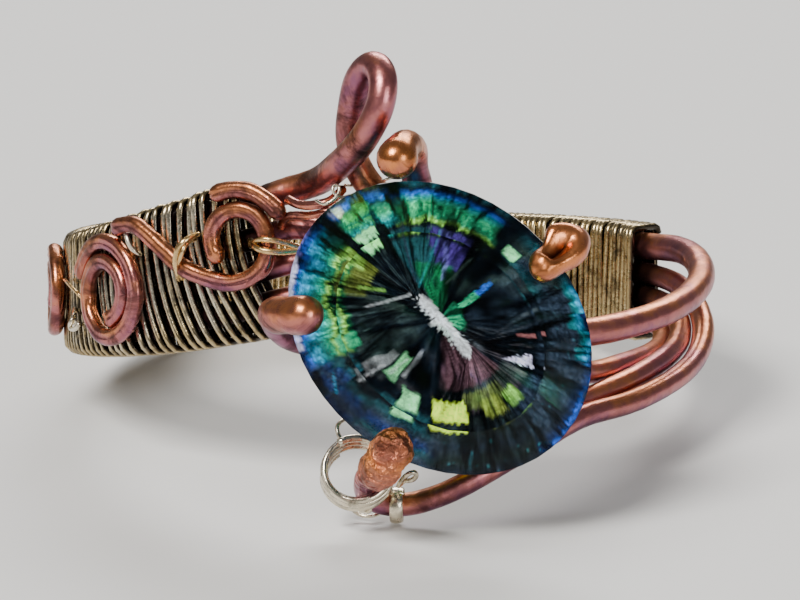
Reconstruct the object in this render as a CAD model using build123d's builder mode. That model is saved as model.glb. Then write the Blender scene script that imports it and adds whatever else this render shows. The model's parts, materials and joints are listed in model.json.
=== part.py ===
from build123d import *
from math import asin, atan2, ceil, cos, degrees, hypot, radians, sin, tan
import os

os.makedirs("parts", exist_ok=True)

# Shank sizes, in millimetres and degrees
finger_d = 17.7
frame_wire_d = 0.9
side_wire_d = 0.72
scroll_wire_d = 0.55
silver_wire_d = 0.25
core_gap = 0.08
wall_gap = 0.08
scroll_gap = 0.05
wrap_corner = 0.4
wrap_right_end = 112
wrap_flat_end = 270
wrap_left_end = 341
wrap_lead = 4
arm_rise = 2.15
arm_spread = 0.85

# How the free strands run on the right
upper_bow = 1.25
upper_fall = 1.9
lower_bow = 0.56
lower_fall = 2.6
strand_gap = 0.07
low_clear = 1.27
low_behind = 1.97
low_side = 0.35

# Stone sizes
stone_length = 10.0
stone_width = 8.1
table_length = 7.0
table_width = 5.3
girdle_height = 0.24
crown_height = 1.15
pavilion_depth = 3.5
keel_length = 2.7
stone_turn = 41
stone_side = 1.95
facet_count = 24
stone_gap = 0.08
behind_gap = 0.12

# Prongs: where each crosses the girdle, how far in it reaches, and its end
left_turn = -139
right_turn = 77
low_turn = -75
top_turn = 141
left_reach = 0.5
right_reach = 0.38
low_prong_reach = 0.3
right_prong_out = 0.35
top_ball_d = 1.26
side_ball_d = 1.0
low_blob_d = 1.2
low_ball_d = 1.26
left_ball_d = 1.2

# The tall loop
loop_height = 8.05
loop_depth = 2.4
loop_side = 1.5
loop_foot_out = 0.67

# Silver round the low prong
coil_d = 2.3
coil_turns = 3
coil_gap = 0.12
coil_from_tip = 3.05
strap_width = 0.42
strap_wall = 0.16
strap_gap = 0.06
strap_from_tip = 4.85

# Scrolls on the left arm
near_scroll_r = 1.52
middle_scroll_r = 1.76
far_scroll_r = 1.28
near_scroll_angle = -23.7
middle_scroll_angle = -53.7
far_scroll_angle = -84
scroll_step = 24

# Sizes that follow
finger_r = finger_d / 2
frame_r = frame_wire_d / 2
side_r = side_wire_d / 2
scroll_r = scroll_wire_d / 2
silver_wall = wall_gap + silver_wire_d
core_r = finger_r + silver_wall + frame_r
wrap_r = core_r + frame_r + silver_wall
core_width = frame_wire_d + 3 * side_wire_d + 3 * core_gap
wrap_width = core_width + 2 * silver_wall
scroll_path_r = wrap_r + scroll_gap + scroll_r
strand_pitch = side_wire_d + strand_gap
behind_r = finger_r + behind_gap + frame_r
girdle_reach = behind_r + frame_r + stone_gap + pavilion_depth + girdle_height / 2
front_reach = girdle_reach + girdle_height / 2 + crown_height + side_wire_d
stone_turned = radians(stone_turn)
stone_drop = hypot(stone_length / 2 * sin(stone_turned), stone_width / 2 * cos(stone_turned))
low_drop = stone_drop + low_clear
low_reach = girdle_reach - low_behind
loop_back = core_r + loop_foot_out

# On its side the ring stands on the strap in front and on the wrap's rounded edge behind
strap_r = side_r + strap_gap + strap_wall
edge_r = wrap_r - wrap_corner
edge_height = wrap_width / 2 - wrap_corner
foot_run, foot_drop = low_reach + edge_r, low_drop - edge_height
rest_lean = atan2(foot_drop, foot_run) + asin((strap_r - wrap_corner) / hypot(foot_run, foot_drop))
rest_tilt = degrees(rest_lean)
rest_height = edge_r * sin(rest_lean) + edge_height * cos(rest_lean) + wrap_corner
rest_back = (front_reach - wrap_r) / 2

# The shank's own frame: X to the right, Y from the stone to the back, Z along the finger
shank = Plane(
    origin=(0, rest_back, rest_height),
    x_dir=(1, 0, 0),
    z_dir=(0, sin(radians(rest_tilt)), cos(radians(rest_tilt))),
)


def in_shank(right, back, up):
    """A point by its distances in the shank's own frame."""
    return shank.from_local_coords(Vector(right, back, up))


def on_shank(angle, radius, height):
    """A point by its turn from the front to the right, its radius and its height."""
    turn = radians(angle)
    return in_shank(radius * sin(turn), -radius * cos(turn), height)


stone_place = Plane(
    origin=in_shank(stone_side, -girdle_reach, 0),
    x_dir=shank.x_dir * cos(stone_turned) - shank.z_dir * sin(stone_turned),
    z_dir=shank.y_dir * -1,
)


def on_rim(turn, out, rise):
    """A point by the girdle: its turn round the oval, how far outside it, how far in front."""
    half_length, half_width = stone_length / 2, stone_width / 2
    c, s = cos(radians(turn)), sin(radians(turn))
    outward = Vector(half_width * c, half_length * s).normalized()
    return stone_place.from_local_coords(
        Vector(half_length * c + out * outward.X, half_width * s + out * outward.Y, rise)
    )


def bend_radii(points):
    """For each corner of a route, an arc that takes 0.45 of the shorter run beside it."""
    radii = []
    for before, corner, after in zip(points, points[1:], points[2:]):
        first, second = corner - before, after - corner
        half_turn = radians(first.get_angle(second)) / 2
        radii.append(0.45 * min(first.length, second.length) / tan(half_turn))
    return radii


arm_steps = 6
arm_step = (wrap_left_end - wrap_flat_end) / arm_steps
back_steps = 12
back_start = wrap_right_end - wrap_lead
back_step = (wrap_flat_end - back_start) / back_steps


def arm_band(step):
    """The middle and the width of the left arm's wires, which climb and spread as it nears the stone."""
    share = step / arm_steps
    rise = arm_rise * share**1.75
    spread = arm_spread * share * share * (3 - 2 * share)
    return rise, core_width + spread


def core_height(place, middle, width):
    """The height of one of the four wires, counted from the top, in a band of this width."""
    top = middle + width / 2
    gap = (width - frame_wire_d - 3 * side_wire_d) / 3
    if place == 0:
        return top - frame_r
    return top - frame_wire_d - gap - side_r - (place - 1) * (side_wire_d + gap)


def core_route(place):
    """One core wire under the wrap, from the right end round the back to the left end."""
    points = []
    outside = core_r / cos(radians(back_step / 2))
    height = core_height(place, 0, core_width)
    for step in range(back_steps + 1):
        points.append(on_shank(back_start + back_step * step, outside, height))
    outside = core_r / cos(radians(arm_step / 2))
    for step in range(1, arm_steps + 1):
        height = core_height(place, *arm_band(step))
        points.append(on_shank(wrap_flat_end + arm_step * step, outside, height))
    beyond = core_height(place, *arm_band(arm_steps + wrap_lead / arm_step))
    points.append(on_shank(wrap_left_end + wrap_lead, core_r, beyond))
    return points


# The upper strand on the right: shares of its bow and of its fall
upper_table = [
    {"angle": 38, "bow": 0.60, "fall": 1.00},
    {"angle": 47, "bow": 0.72, "fall": 0.93},
    {"angle": 58, "bow": 0.84, "fall": 0.80},
    {"angle": 69, "bow": 0.96, "fall": 0.61},
    {"angle": 80, "bow": 1.00, "fall": 0.36},
    {"angle": 90, "bow": 0.82, "fall": 0.08},
    {"angle": 99, "bow": 0.45, "fall": -0.05},
]

# The lower strands: the middle one's bow and fall, and where the others lie beside it
lower_table = [
    {"angle": 46, "bow": 1.00, "fall": 1.00, "outer": -36, "inner": 142},
    {"angle": 56, "bow": 1.05, "fall": 0.85, "outer": -38, "inner": 160},
    {"angle": 66, "bow": 1.03, "fall": 0.72, "outer": -34, "inner": 180},
    {"angle": 75, "bow": 0.96, "fall": 0.60, "outer": -22, "inner": 198},
    {"angle": 83, "bow": 0.84, "fall": 0.47, "outer": 10, "inner": 216},
    {"angle": 91, "bow": 0.62, "fall": 0.33, "outer": 44, "inner": 236},
    {"angle": 99, "bow": 0.36, "fall": 0.23, "outer": 66, "inner": 256},
]


def upper_route():
    """The frame wire's bare strand, from the stone's right edge back to the wrap."""
    top = core_height(0, 0, core_width)
    return [
        on_shank(row["angle"], core_r + upper_bow * row["bow"], top - upper_fall * row["fall"])
        for row in upper_table
    ]


def lower_route(side=None):
    """A lower strand, the middle one or the one that lies beside it on this side."""
    points = []
    for row in lower_table:
        out, up = 0, 0
        if side:
            out = strand_pitch * cos(radians(row[side]))
            up = strand_pitch * sin(radians(row[side]))
        radius = core_r + lower_bow * row["bow"] + out
        points.append(on_shank(row["angle"], radius, up - lower_fall * row["fall"]))
    return points


def prong_end(turn, radius, ball_d, reach, spare=0):
    """The last points of a prong: beside the girdle, over its edge, and down on the crown."""
    slope = crown_height / ((stone_width - table_width) / 2)
    lean = hypot(1, slope)
    out = radius + stone_gap + spare
    edge = girdle_height / 2
    corner = edge - slope * out + out * lean
    tip = edge + slope * reach + (ball_d / 2 + stone_gap) * lean
    return [
        on_rim(turn, out, -radius - spare),
        on_rim(turn, out, corner),
        on_rim(turn, -reach, tip),
    ]


def behind_stone(turn, share, radius):
    """A point close beside the stone's back: its turn, its share of the depth, the wire's radius."""
    half_length, half_width = stone_length / 2, stone_width / 2
    c, s = cos(radians(turn)), sin(radians(turn))
    outward = Vector(half_width * c, half_length * s).normalized()
    out = (radius + stone_gap) * hypot(1, half_width / pavilion_depth)
    along = half_length * c * (1 - share) + keel_length / 2 * c * share
    across = half_width * s * (1 - share)
    return stone_place.from_local_coords(
        Vector(
            along + out * outward.X,
            across + out * outward.Y,
            -girdle_height / 2 - share * pavilion_depth,
        )
    )


# The tall loop, from the left arm over its top and down behind the stone: shares of its sizes
loop_table = [
    {"side": -0.85, "out": 0.33, "up": 0.585},
    {"side": -0.44, "out": 0.71, "up": 0.655},
    {"side": -0.07, "out": 0.92, "up": 0.76},
    {"side": 0.13, "out": 1.00, "up": 0.85},
    {"side": 0.17, "out": 0.92, "up": 0.945},
    {"side": -0.03, "out": 0.62, "up": 1.00},
    {"side": -0.37, "out": 0.33, "up": 0.945},
    {"side": -0.53, "out": 0.21, "up": 0.81},
    {"side": -0.57, "out": 0.12, "up": 0.67},
    {"side": -0.33, "out": 0.00, "up": 0.55},
    {"side": 0.20, "out": 0.04, "up": 0.44},
]


def loop_route():
    """The points of the tall loop."""
    return [
        in_shank(
            loop_side * row["side"],
            -loop_back - loop_depth * row["out"],
            loop_height * row["up"],
        )
        for row in loop_table
    ]


# The frame wire behind the stone: its spare room in wire diameters, its share of the stone's depth
behind_stone_table = [
    {"turn": -118, "share": 0.62, "spare": 0.44},
    {"turn": -112, "share": 0.86, "spare": 0.67},
]

# Its way on to the right: shares of the upper strand's bow and fall
behind_table = [
    {"angle": 4, "bow": 0.00, "fall": 0.58},
    {"angle": 14, "bow": 0.00, "fall": 0.53},
    {"angle": 26, "bow": 0.48, "fall": 0.42},
]

# The top prong from the back: how far outside the girdle in wire diameters, its rise in stone depths
top_prong_table = [
    {"turn": 136, "out": 0.69, "rise": -0.343},
    {"turn": 138, "out": 1.06, "rise": -0.100},
    {"turn": 140, "out": 1.03, "rise": 0.086},
]


def frame_route():
    """The frame wire: left prong, behind the stone, round the shank, the loop, top prong."""
    behind = [on_rim(left_turn + 10, frame_r, -pavilion_depth * 0.43)]
    for row in behind_stone_table:
        room = frame_r + frame_wire_d * row["spare"]
        behind.append(behind_stone(row["turn"], row["share"], room))
    for row in behind_table:
        radius = behind_r + upper_bow * row["bow"]
        behind.append(on_shank(row["angle"], radius, -upper_fall * row["fall"]))
    arm_top = core_height(0, arm_rise, core_width + arm_spread)
    foot = [on_shank(350, core_r + frame_r * 0.78, arm_top + frame_r)]
    top_prong = [behind_stone(128, 0.60, frame_r)]
    for row in top_prong_table:
        top_prong.append(on_rim(row["turn"], frame_wire_d * row["out"], pavilion_depth * row["rise"]))
    top_prong.append(on_rim(top_turn, frame_wire_d * 0.8, top_ball_d / 2 + stone_gap))
    left_prong = prong_end(left_turn, frame_r, left_ball_d, left_reach)[::-1]
    return left_prong + behind + upper_route() + core_route(0) + foot + loop_route() + top_prong


def left_end(place, turn):
    """The end of a side wire, from the wrap's left end forward to the stone's back."""
    height = core_height(place, arm_rise, core_width + arm_spread)
    return [
        on_shank(351, core_r + side_wire_d * 0.14, height),
        on_shank(354, core_r + side_wire_d * 1.11, height),
        behind_stone(turn, 0.5, side_r),
    ]


# The lowest strand's run under the stone: shares of how far it reaches and drops
under_table = [
    {"angle": 2.5, "reach": 1.000, "drop": 1.000},
    {"angle": 7.5, "reach": 1.004, "drop": 0.970},
    {"angle": 13, "reach": 1.017, "drop": 0.887},
    {"angle": 20, "reach": 1.017, "drop": 0.757},
    {"angle": 28, "reach": 0.983, "drop": 0.640},
    {"angle": 37, "reach": 0.930, "drop": 0.548},
]


def low_prong_route():
    """The lowest strand: low prong, under the stone, round the shank, left end."""
    bend = [
        on_rim(low_turn - 2, side_wire_d * 1.39, -pavilion_depth * 0.171),
        in_shank(-low_side, -low_reach * 1.07, -low_drop * 0.845),
        in_shank(-low_side, -low_reach * 0.99, -low_drop * 0.95),
    ]
    under = [
        on_shank(row["angle"], low_reach * row["reach"], -low_drop * row["drop"])
        for row in under_table
    ]
    low_prong = prong_end(low_turn, low_blob_d / 2, low_ball_d, low_prong_reach)[:0:-1]
    return low_prong + bend + under + lower_route("outer") + core_route(1) + left_end(1, 168)


# How the middle strand and the one inside it leave the stone: shares of the lower bow and fall
middle_table = [
    {"angle": 15, "bow": 1.07, "fall": 1.30},
    {"angle": 25, "bow": 0.89, "fall": 1.27},
    {"angle": 36, "bow": 0.71, "fall": 1.17},
]
inner_table = [
    {"angle": 29, "bow": 3.04, "fall": 0.33},
    {"angle": 35, "bow": 1.79, "fall": 0.70},
    {"angle": 40, "bow": 0.18, "fall": 0.75},
]


def leaving_stone(table):
    """A lower strand's points between the stone's back and the bare strands on the right."""
    return [
        on_shank(row["angle"], core_r + lower_bow * row["bow"], -lower_fall * row["fall"])
        for row in table
    ]


def middle_route():
    """The middle strand, which ends behind the stone on both sides."""
    right_end = [behind_stone(-66, 0.5, side_r)] + leaving_stone(middle_table)
    return right_end + lower_route() + core_route(2) + left_end(2, 191)


def right_prong_route():
    """The strand that crosses under the frame wire and climbs to the right prong."""
    climb = [
        behind_stone(right_turn - 2, 0.40, side_r * 1.42),
        behind_stone(right_turn - 10, 0.75, side_r * 1.83),
    ]
    right_prong = prong_end(right_turn, side_r, side_ball_d, right_reach, right_prong_out)[::-1]
    start = right_prong + climb + leaving_stone(inner_table)
    return start + lower_route("inner") + core_route(3) + left_end(3, 212)


def bend_wire(points, diameter):
    """A round wire along a route; its path is handed back."""
    with BuildLine() as route:
        FilletPolyline(*points, radius=bend_radii(points))
    with BuildSketch(Plane(origin=route.line @ 0, z_dir=route.line % 0)) as section:
        Circle(diameter / 2)
    sweep(section.sketch, path=route.line)
    return route.wires()[0]


def ball_tip(path, end, diameter):
    """The ball that a wire's end, 0 or 1, has melted into."""
    with Locations(Plane(origin=path @ end, z_dir=path % end)):
        Sphere(diameter / 2)


with BuildPart() as frame_wire:
    frame_path = bend_wire(frame_route(), frame_wire_d)
    ball_tip(frame_path, 0, left_ball_d)
    ball_tip(frame_path, 1, top_ball_d)
frame_wire.part.label = "frame_wire"
export_step(frame_wire.part, "parts/frame_wire.step")

low_prong_points = low_prong_route()
with BuildPart() as low_prong_wire:
    low_path = bend_wire(low_prong_points, side_wire_d)
    bend_wire(low_prong_points[:3], low_blob_d)
    ball_tip(low_path, 0, low_ball_d)
low_prong_wire.part.label = "low_prong_wire"
export_step(low_prong_wire.part, "parts/low_prong_wire.step")

with BuildPart() as middle_wire:
    bend_wire(middle_route(), side_wire_d)
middle_wire.part.label = "middle_wire"
export_step(middle_wire.part, "parts/middle_wire.step")

with BuildPart() as right_prong_wire:
    right_path = bend_wire(right_prong_route(), side_wire_d)
    ball_tip(right_path, 0, side_ball_d)
right_prong_wire.part.label = "right_prong_wire"
export_step(right_prong_wire.part, "parts/right_prong_wire.step")

# The near scroll's lead-in climbs from the wrap: heights as shares of the wrap's width
near_lead_table = [
    {"angle": -50.0, "height": 0.657},
    {"angle": -46.2, "height": 0.702},
    {"angle": -43.1, "height": 0.639},
    {"angle": -39.6, "height": 0.528},
    {"angle": -36.3, "height": 0.417},
    {"angle": -32.7, "height": 0.326},
]

# Each curl from its outer end inwards: turns in degrees, radii as shares of the scroll's radius
near_curl_table = [
    {"turn": 237, "radius": 1.00},
    {"turn": 270, "radius": 0.85},
    {"turn": 310, "radius": 0.78},
    {"turn": 360, "radius": 0.67},
    {"turn": 540, "radius": 0.64},
    {"turn": 572, "radius": 0.60},
]
middle_curl_table = [
    {"turn": 160, "radius": 1.00},
    {"turn": 90, "radius": 0.97},
    {"turn": 0, "radius": 0.90},
    {"turn": -90, "radius": 0.80},
    {"turn": -180, "radius": 0.67},
    {"turn": -270, "radius": 0.60},
    {"turn": -350, "radius": 0.55},
    {"turn": -430, "radius": 0.47},
]
far_curl_table = [
    {"turn": 90, "radius": 1.00},
    {"turn": -90, "radius": 0.98},
    {"turn": -180, "radius": 0.94},
    {"turn": -230, "radius": 0.70},
    {"turn": -280, "radius": 0.52},
    {"turn": -400, "radius": 0.43},
]
arch_curl_table = [
    {"turn": 116, "radius": 1.07},
    {"turn": 36, "radius": 1.08},
]


def scroll_lead(table):
    """The points of a scroll's lead-in, on the wrap."""
    return [on_shank(row["angle"], scroll_path_r, wrap_width * row["height"]) for row in table]


def scroll_curl(table, angle, middle, scroll_r_full):
    """A flat spiral laid on the wrap, in even steps round each part of the curl."""
    curl = [(table[0]["turn"], table[0]["radius"])]
    for start, end in zip(table, table[1:]):
        turn, radius = end["turn"] - start["turn"], end["radius"] - start["radius"]
        steps = ceil(abs(turn) / scroll_step)
        for step in range(1, steps + 1):
            share = step / steps
            curl.append((start["turn"] + turn * share, start["radius"] + radius * share))
    points = []
    for turn, radius_share in curl:
        radius = scroll_r_full * radius_share
        along = degrees(radius * cos(radians(turn)) / scroll_path_r)
        height = wrap_width * middle + radius * sin(radians(turn))
        points.append(on_shank(angle + along, scroll_path_r, height))
    return points


near_middle = 0.60
near_curl = scroll_curl(near_curl_table, near_scroll_angle, near_middle, near_scroll_r)
with BuildPart() as near_scroll:
    bend_wire(scroll_lead(near_lead_table) + near_curl, scroll_wire_d)
near_scroll.part.label = "near_scroll"
export_step(near_scroll.part, "parts/near_scroll.step")

middle_curl = scroll_curl(middle_curl_table, middle_scroll_angle, 0.106, middle_scroll_r)
with BuildPart() as middle_scroll:
    bend_wire(middle_curl, scroll_wire_d)
middle_scroll.part.label = "middle_scroll"
export_step(middle_scroll.part, "parts/middle_scroll.step")

far_curl = scroll_curl(far_curl_table, far_scroll_angle, 0.025, far_scroll_r)
with BuildPart() as far_scroll:
    bend_wire(far_curl, scroll_wire_d)
far_scroll.part.label = "far_scroll"
export_step(far_scroll.part, "parts/far_scroll.step")

arch_curl = scroll_curl(arch_curl_table, near_scroll_angle, near_middle, near_scroll_r)
with BuildPart() as arch_wire:
    bend_wire(arch_curl, scroll_wire_d)
arch_wire.part.label = "arch_wire"
export_step(arch_wire.part, "parts/arch_wire.step")


def wrap_section(angle, middle):
    """The plane of a section through the wrap."""
    return Plane(
        origin=on_shank(angle, core_r, middle),
        x_dir=on_shank(angle, 1, 0) - shank.origin,
        z_dir=on_shank(angle + 90, 1, 0) - shank.origin,
    )


outer_thickness = frame_wire_d + 2 * silver_wall
hollow_thickness = frame_wire_d + 2 * wall_gap
hollow_corner = wrap_corner - silver_wire_d

with BuildPart() as wire_wrap:
    with BuildSketch(wrap_section(wrap_right_end, 0)):
        RectangleRounded(outer_thickness, wrap_width, wrap_corner)
        RectangleRounded(
            hollow_thickness, core_width + 2 * wall_gap, hollow_corner, mode=Mode.SUBTRACT
        )
    revolve(axis=Axis(shank.origin, shank.z_dir), revolution_arc=wrap_flat_end - wrap_right_end)
    for thickness, wall, corner, mode in (
        (outer_thickness, silver_wall, wrap_corner, Mode.ADD),
        (hollow_thickness, wall_gap, hollow_corner, Mode.SUBTRACT),
    ):
        sections = []
        for step in range(arm_steps + 1):
            middle, width = arm_band(step)
            with BuildSketch(wrap_section(wrap_flat_end + arm_step * step, middle)) as section:
                RectangleRounded(thickness, width + 2 * wall, corner)
            sections.append(section.sketch)
        loft(sections, mode=mode)
wire_wrap.part.label = "wire_wrap"
export_step(wire_wrap.part, "parts/wire_wrap.step")

coil_at = low_path.position_at(coil_from_tip, position_mode=PositionMode.LENGTH)
coil_along = low_path.tangent_at(coil_from_tip, position_mode=PositionMode.LENGTH)
strap_at = low_path.position_at(strap_from_tip, position_mode=PositionMode.LENGTH)
strap_along = low_path.tangent_at(strap_from_tip, position_mode=PositionMode.LENGTH)

coil_side = shank.z_dir - shank.x_dir * 0.6
coil_side = (coil_side - coil_along * coil_side.dot(coil_along)).normalized()
coil_shift = coil_d / 2 - silver_wire_d - coil_gap - side_r
coil_length = coil_turns * silver_wire_d

with BuildPart() as low_coil:
    with BuildSketch(
        Plane(
            origin=coil_at + coil_side * coil_shift - coil_along * (coil_length / 2),
            z_dir=coil_along,
        )
    ):
        Circle(coil_d / 2)
        Circle(coil_d / 2 - silver_wire_d, mode=Mode.SUBTRACT)
    extrude(amount=coil_length)
low_coil.part.label = "low_coil"
export_step(low_coil.part, "parts/low_coil.step")

with BuildPart() as coil_strap:
    with BuildSketch(Plane(origin=strap_at - strap_along * (strap_width / 2), z_dir=strap_along)):
        Circle(side_r + strap_gap + strap_wall)
        Circle(side_r + strap_gap, mode=Mode.SUBTRACT)
    extrude(amount=strap_width)
coil_strap.part.label = "coil_strap"
export_step(coil_strap.part, "parts/coil_strap.step")


def facet(turn, near_height, far_length, far_width, far_height):
    """The plane of a facet from the girdle to an oval, or a keel, at another height."""
    half_length, half_width = stone_length / 2, stone_width / 2
    outward = Vector(half_width * cos(radians(turn)), half_length * sin(radians(turn))).normalized()
    near = hypot(half_length * outward.X, half_width * outward.Y)
    far = hypot(far_length / 2 * outward.X, far_width / 2 * outward.Y)
    steep = abs(far_height - near_height)
    flat = (near - far) * (1 if far_height > near_height else -1)
    normal = Vector(outward.X * steep, outward.Y * steep, flat)
    return Plane(
        origin=stone_place.from_local_coords(Vector(near * outward.X, near * outward.Y, near_height)),
        z_dir=stone_place.from_local_coords(normal) - stone_place.origin,
    )


facet_step = 360 / facet_count
table_height = girdle_height / 2 + crown_height
keel_height = -girdle_height / 2 - pavilion_depth

with BuildPart() as stone:
    with BuildSketch(stone_place.offset(keel_height)):
        with BuildLine():
            Polyline(
                *[
                    (
                        stone_length / 2 * cos(radians(facet_step / 2 * step)),
                        stone_width / 2 * sin(radians(facet_step / 2 * step)),
                    )
                    for step in range(2 * facet_count)
                ],
                close=True,
            )
        make_face()
    extrude(amount=table_height - keel_height)
    for step in range(facet_count):
        turn = facet_step * step
        for plane in (
            facet(turn, girdle_height / 2, table_length, table_width, table_height),
            facet(turn, -girdle_height / 2, keel_length, 0, keel_height),
        ):
            split(bisect_by=plane, keep=Keep.BOTTOM)
stone.part.label = "stone"
export_step(stone.part, "parts/stone.step")
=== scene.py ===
import bmesh
import bpy
import json
import numpy as np
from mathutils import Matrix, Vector


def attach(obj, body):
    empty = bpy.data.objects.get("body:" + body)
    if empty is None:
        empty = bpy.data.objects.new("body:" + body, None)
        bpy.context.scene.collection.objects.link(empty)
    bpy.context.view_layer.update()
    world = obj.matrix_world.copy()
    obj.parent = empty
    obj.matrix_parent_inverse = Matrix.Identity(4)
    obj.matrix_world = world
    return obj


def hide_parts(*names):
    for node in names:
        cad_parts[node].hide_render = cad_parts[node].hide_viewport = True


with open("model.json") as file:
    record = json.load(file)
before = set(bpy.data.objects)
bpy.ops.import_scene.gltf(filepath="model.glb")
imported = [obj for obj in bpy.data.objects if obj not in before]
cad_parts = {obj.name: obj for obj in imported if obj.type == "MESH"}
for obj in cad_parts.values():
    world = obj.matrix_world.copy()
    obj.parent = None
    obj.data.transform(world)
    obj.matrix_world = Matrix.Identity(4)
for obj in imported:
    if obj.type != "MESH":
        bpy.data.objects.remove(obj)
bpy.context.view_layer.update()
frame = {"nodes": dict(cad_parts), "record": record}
metre = 0.001  # every length below is in millimetres until a mesh is filled
print("frame loaded:", len(frame["nodes"]), "solids")

# the shank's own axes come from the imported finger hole
hole = [m for m in frame["record"]["mounts"] if m["name"] == "finger_hole"][0]
shankOrigin = np.array(hole["pos_m"]) / metre
shankUp = np.array(hole["axis"]) / np.linalg.norm(hole["axis"])
shankRight = np.array([1.0, 0.0, 0.0])
shankBack = np.cross(shankUp, shankRight)

shank = {
    "holeR": hole["dims"]["r_mm"],
    "frameD": 0.9,
    "sideD": 0.72,
    "scrollD": 0.55,
    "silverD": 0.25,
    "coreGap": 0.08,
    "wallGap": 0.08,
    "rightEnd": 112.0,
    "flatEnd": 270.0,
    "leftEnd": 341.0,
    "lead": 4.0,
    "armRise": 2.15,
    "armSpread": 0.85,
    "backSteps": 12,
    "armSteps": 6,
}
frameR, sideR = shank["frameD"] / 2, shank["sideD"] / 2
coreR = shank["holeR"] + shank["wallGap"] + shank["silverD"] + frameR
coreWidth = shank["frameD"] + 3 * shank["sideD"] + 3 * shank["coreGap"]
wrapR = coreR + frameR + shank["wallGap"] + shank["silverD"]
wrapWidth = coreWidth + 2 * (shank["wallGap"] + shank["silverD"])

strands = {
    "upperBow": 1.25,
    "upperFall": 1.9,
    "lowerBow": 0.56,
    "lowerFall": 2.6,
    "pitch": 0.79,
    "lowClear": 1.27,
    "lowBehind": 1.97,
    "lowSide": 0.35,
}

gem = {
    "length": 10.0,
    "width": 8.1,
    "tableLength": 7.0,
    "tableWidth": 5.3,
    "girdle": 0.24,
    "crown": 1.15,
    "pavilion": 3.5,
    "keel": 2.7,
    "turn": 41.0,
    "side": 1.95,
    "gap": 0.08,
    "facets": 24,
    "behindGap": 0.12,
}
behindR = shank["holeR"] + gem["behindGap"] + frameR
girdleReach = behindR + frameR + gem["gap"] + gem["pavilion"] + gem["girdle"] / 2
gemTurn = np.radians(gem["turn"])
gemX = shankRight * np.cos(gemTurn) - shankUp * np.sin(gemTurn)
gemY = shankRight * np.sin(gemTurn) + shankUp * np.cos(gemTurn)
gemOut = -shankBack
gemOrigin = shankOrigin + gem["side"] * shankRight - girdleReach * shankBack
lowDrop = np.hypot(gem["length"] / 2 * np.sin(gemTurn), gem["width"] / 2 * np.cos(gemTurn))
lowDrop += strands["lowClear"]
lowReach = girdleReach - strands["lowBehind"]


# each vector over its own length
def unit(vectors):
    return vectors / np.linalg.norm(vectors, axis=-1, keepdims=True)


# the value kept between 0 and 1
def held(value):
    return np.clip(value, 0, 1)


# how far along each row is, from the steps between them
def walkedSoFar(steps):
    return np.concatenate([[0], np.cumsum(steps)])


# s^2 (3 - 2 s), from 0 to 1 with soft ends
def softStep(share):
    return share**2 * (3 - 2 * share)


# exp(-((s - at) / reach)^power), 1 at this place and falling away on both sides
def bell(places, at, reach, power=2):
    return np.exp(-((places - at) / reach)**power)


# point = origin + the three amounts along the three axes
def inAxes(origin, axes, amounts):
    amounts = np.broadcast_arrays(*[np.atleast_1d(np.asarray(a, float)) for a in amounts])
    return origin + sum(np.outer(a, axis) for a, axis in zip(amounts, axes))


# right, back and up from the middle of the finger hole
def inShank(right, back, up):
    return inAxes(shankOrigin, (shankRight, shankBack, shankUp), (right, back, up))


# angle is counted from the stone to the right: x = r sin a, y = -r cos a
def onShank(angle, radius, height):
    a = np.radians(np.asarray(angle, float))
    return inShank(radius * np.sin(a), -radius * np.cos(a), height)


# x and y in the stone's own plane, rise towards its table
def onGem(x, y, rise):
    return inAxes(gemOrigin, (gemX, gemY, gemOut), (x, y, rise))


# the unit vector square to the oval at this turn
def ovalNormal(turn):
    t = np.radians(np.asarray(turn, float))
    return unit(np.stack([gem["width"] * np.cos(t), gem["length"] * np.sin(t)], -1))


# oval point + out * its normal
def onRim(turn, out, rise):
    t = np.radians(np.atleast_1d(np.asarray(turn, float)))
    n = ovalNormal(turn).reshape(-1, 2)
    x = gem["length"] / 2 * np.cos(t) + out * n[:, 0]
    y = gem["width"] / 2 * np.sin(t) + out * n[:, 1]
    return onGem(x, y, rise)


# the oval shrinks to the keel as share goes from 0 to 1, plus room for the wire
def behindGem(turn, share, room):
    t = np.radians(turn)
    n = ovalNormal(turn)
    out = (room + gem["gap"]) * np.hypot(1, gem["width"] / 2 / gem["pavilion"])
    x = gem["length"] / 2 * np.cos(t) * (1 - share) + gem["keel"] / 2 * np.cos(t) * share + out * n[0]
    y = gem["width"] / 2 * np.sin(t) * (1 - share) + out * n[1]
    return onGem(x, y, -gem["girdle"] / 2 - share * gem["pavilion"])


# rise = armRise * s^1.75, spread = armSpread * softStep(s)
def armBand(share):
    share = np.clip(share, 0, 2)
    return shank["armRise"] * share**1.75, coreWidth + shank["armSpread"] * softStep(share)


# the four wires lie one under another, the thick one on top
def coreHeight(place, middle, width):
    gap = (width - shank["frameD"] - 3 * shank["sideD"]) / 3
    top = middle + width / 2
    if place == 0:
        return top - frameR
    return top - shank["frameD"] - gap - sideR - (place - 1) * (shank["sideD"] + gap)


# one strand under the winding; r / cos(half a step) keeps the blended curve on its radius
def coreRoute(place):
    backSteps, armSteps = shank["backSteps"], shank["armSteps"]
    backStep = (shank["flatEnd"] - shank["rightEnd"] + shank["lead"]) / backSteps
    armStep = (shank["leftEnd"] - shank["flatEnd"]) / armSteps
    back = shank["rightEnd"] - shank["lead"] + backStep * np.arange(backSteps + 1)
    count = np.arange(1, armSteps + 1)
    last = coreHeight(place, *armBand(1 + shank["lead"] / armStep / armSteps))
    return np.vstack([
        onShank(back, coreR / np.cos(np.radians(backStep / 2)), coreHeight(place, 0, coreWidth)),
        onShank(shank["flatEnd"] + armStep * count, coreR / np.cos(np.radians(armStep / 2)),
                coreHeight(place, *armBand(count / armSteps))),
        onShank(shank["leftEnd"] + shank["lead"], coreR, last),
    ])


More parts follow.
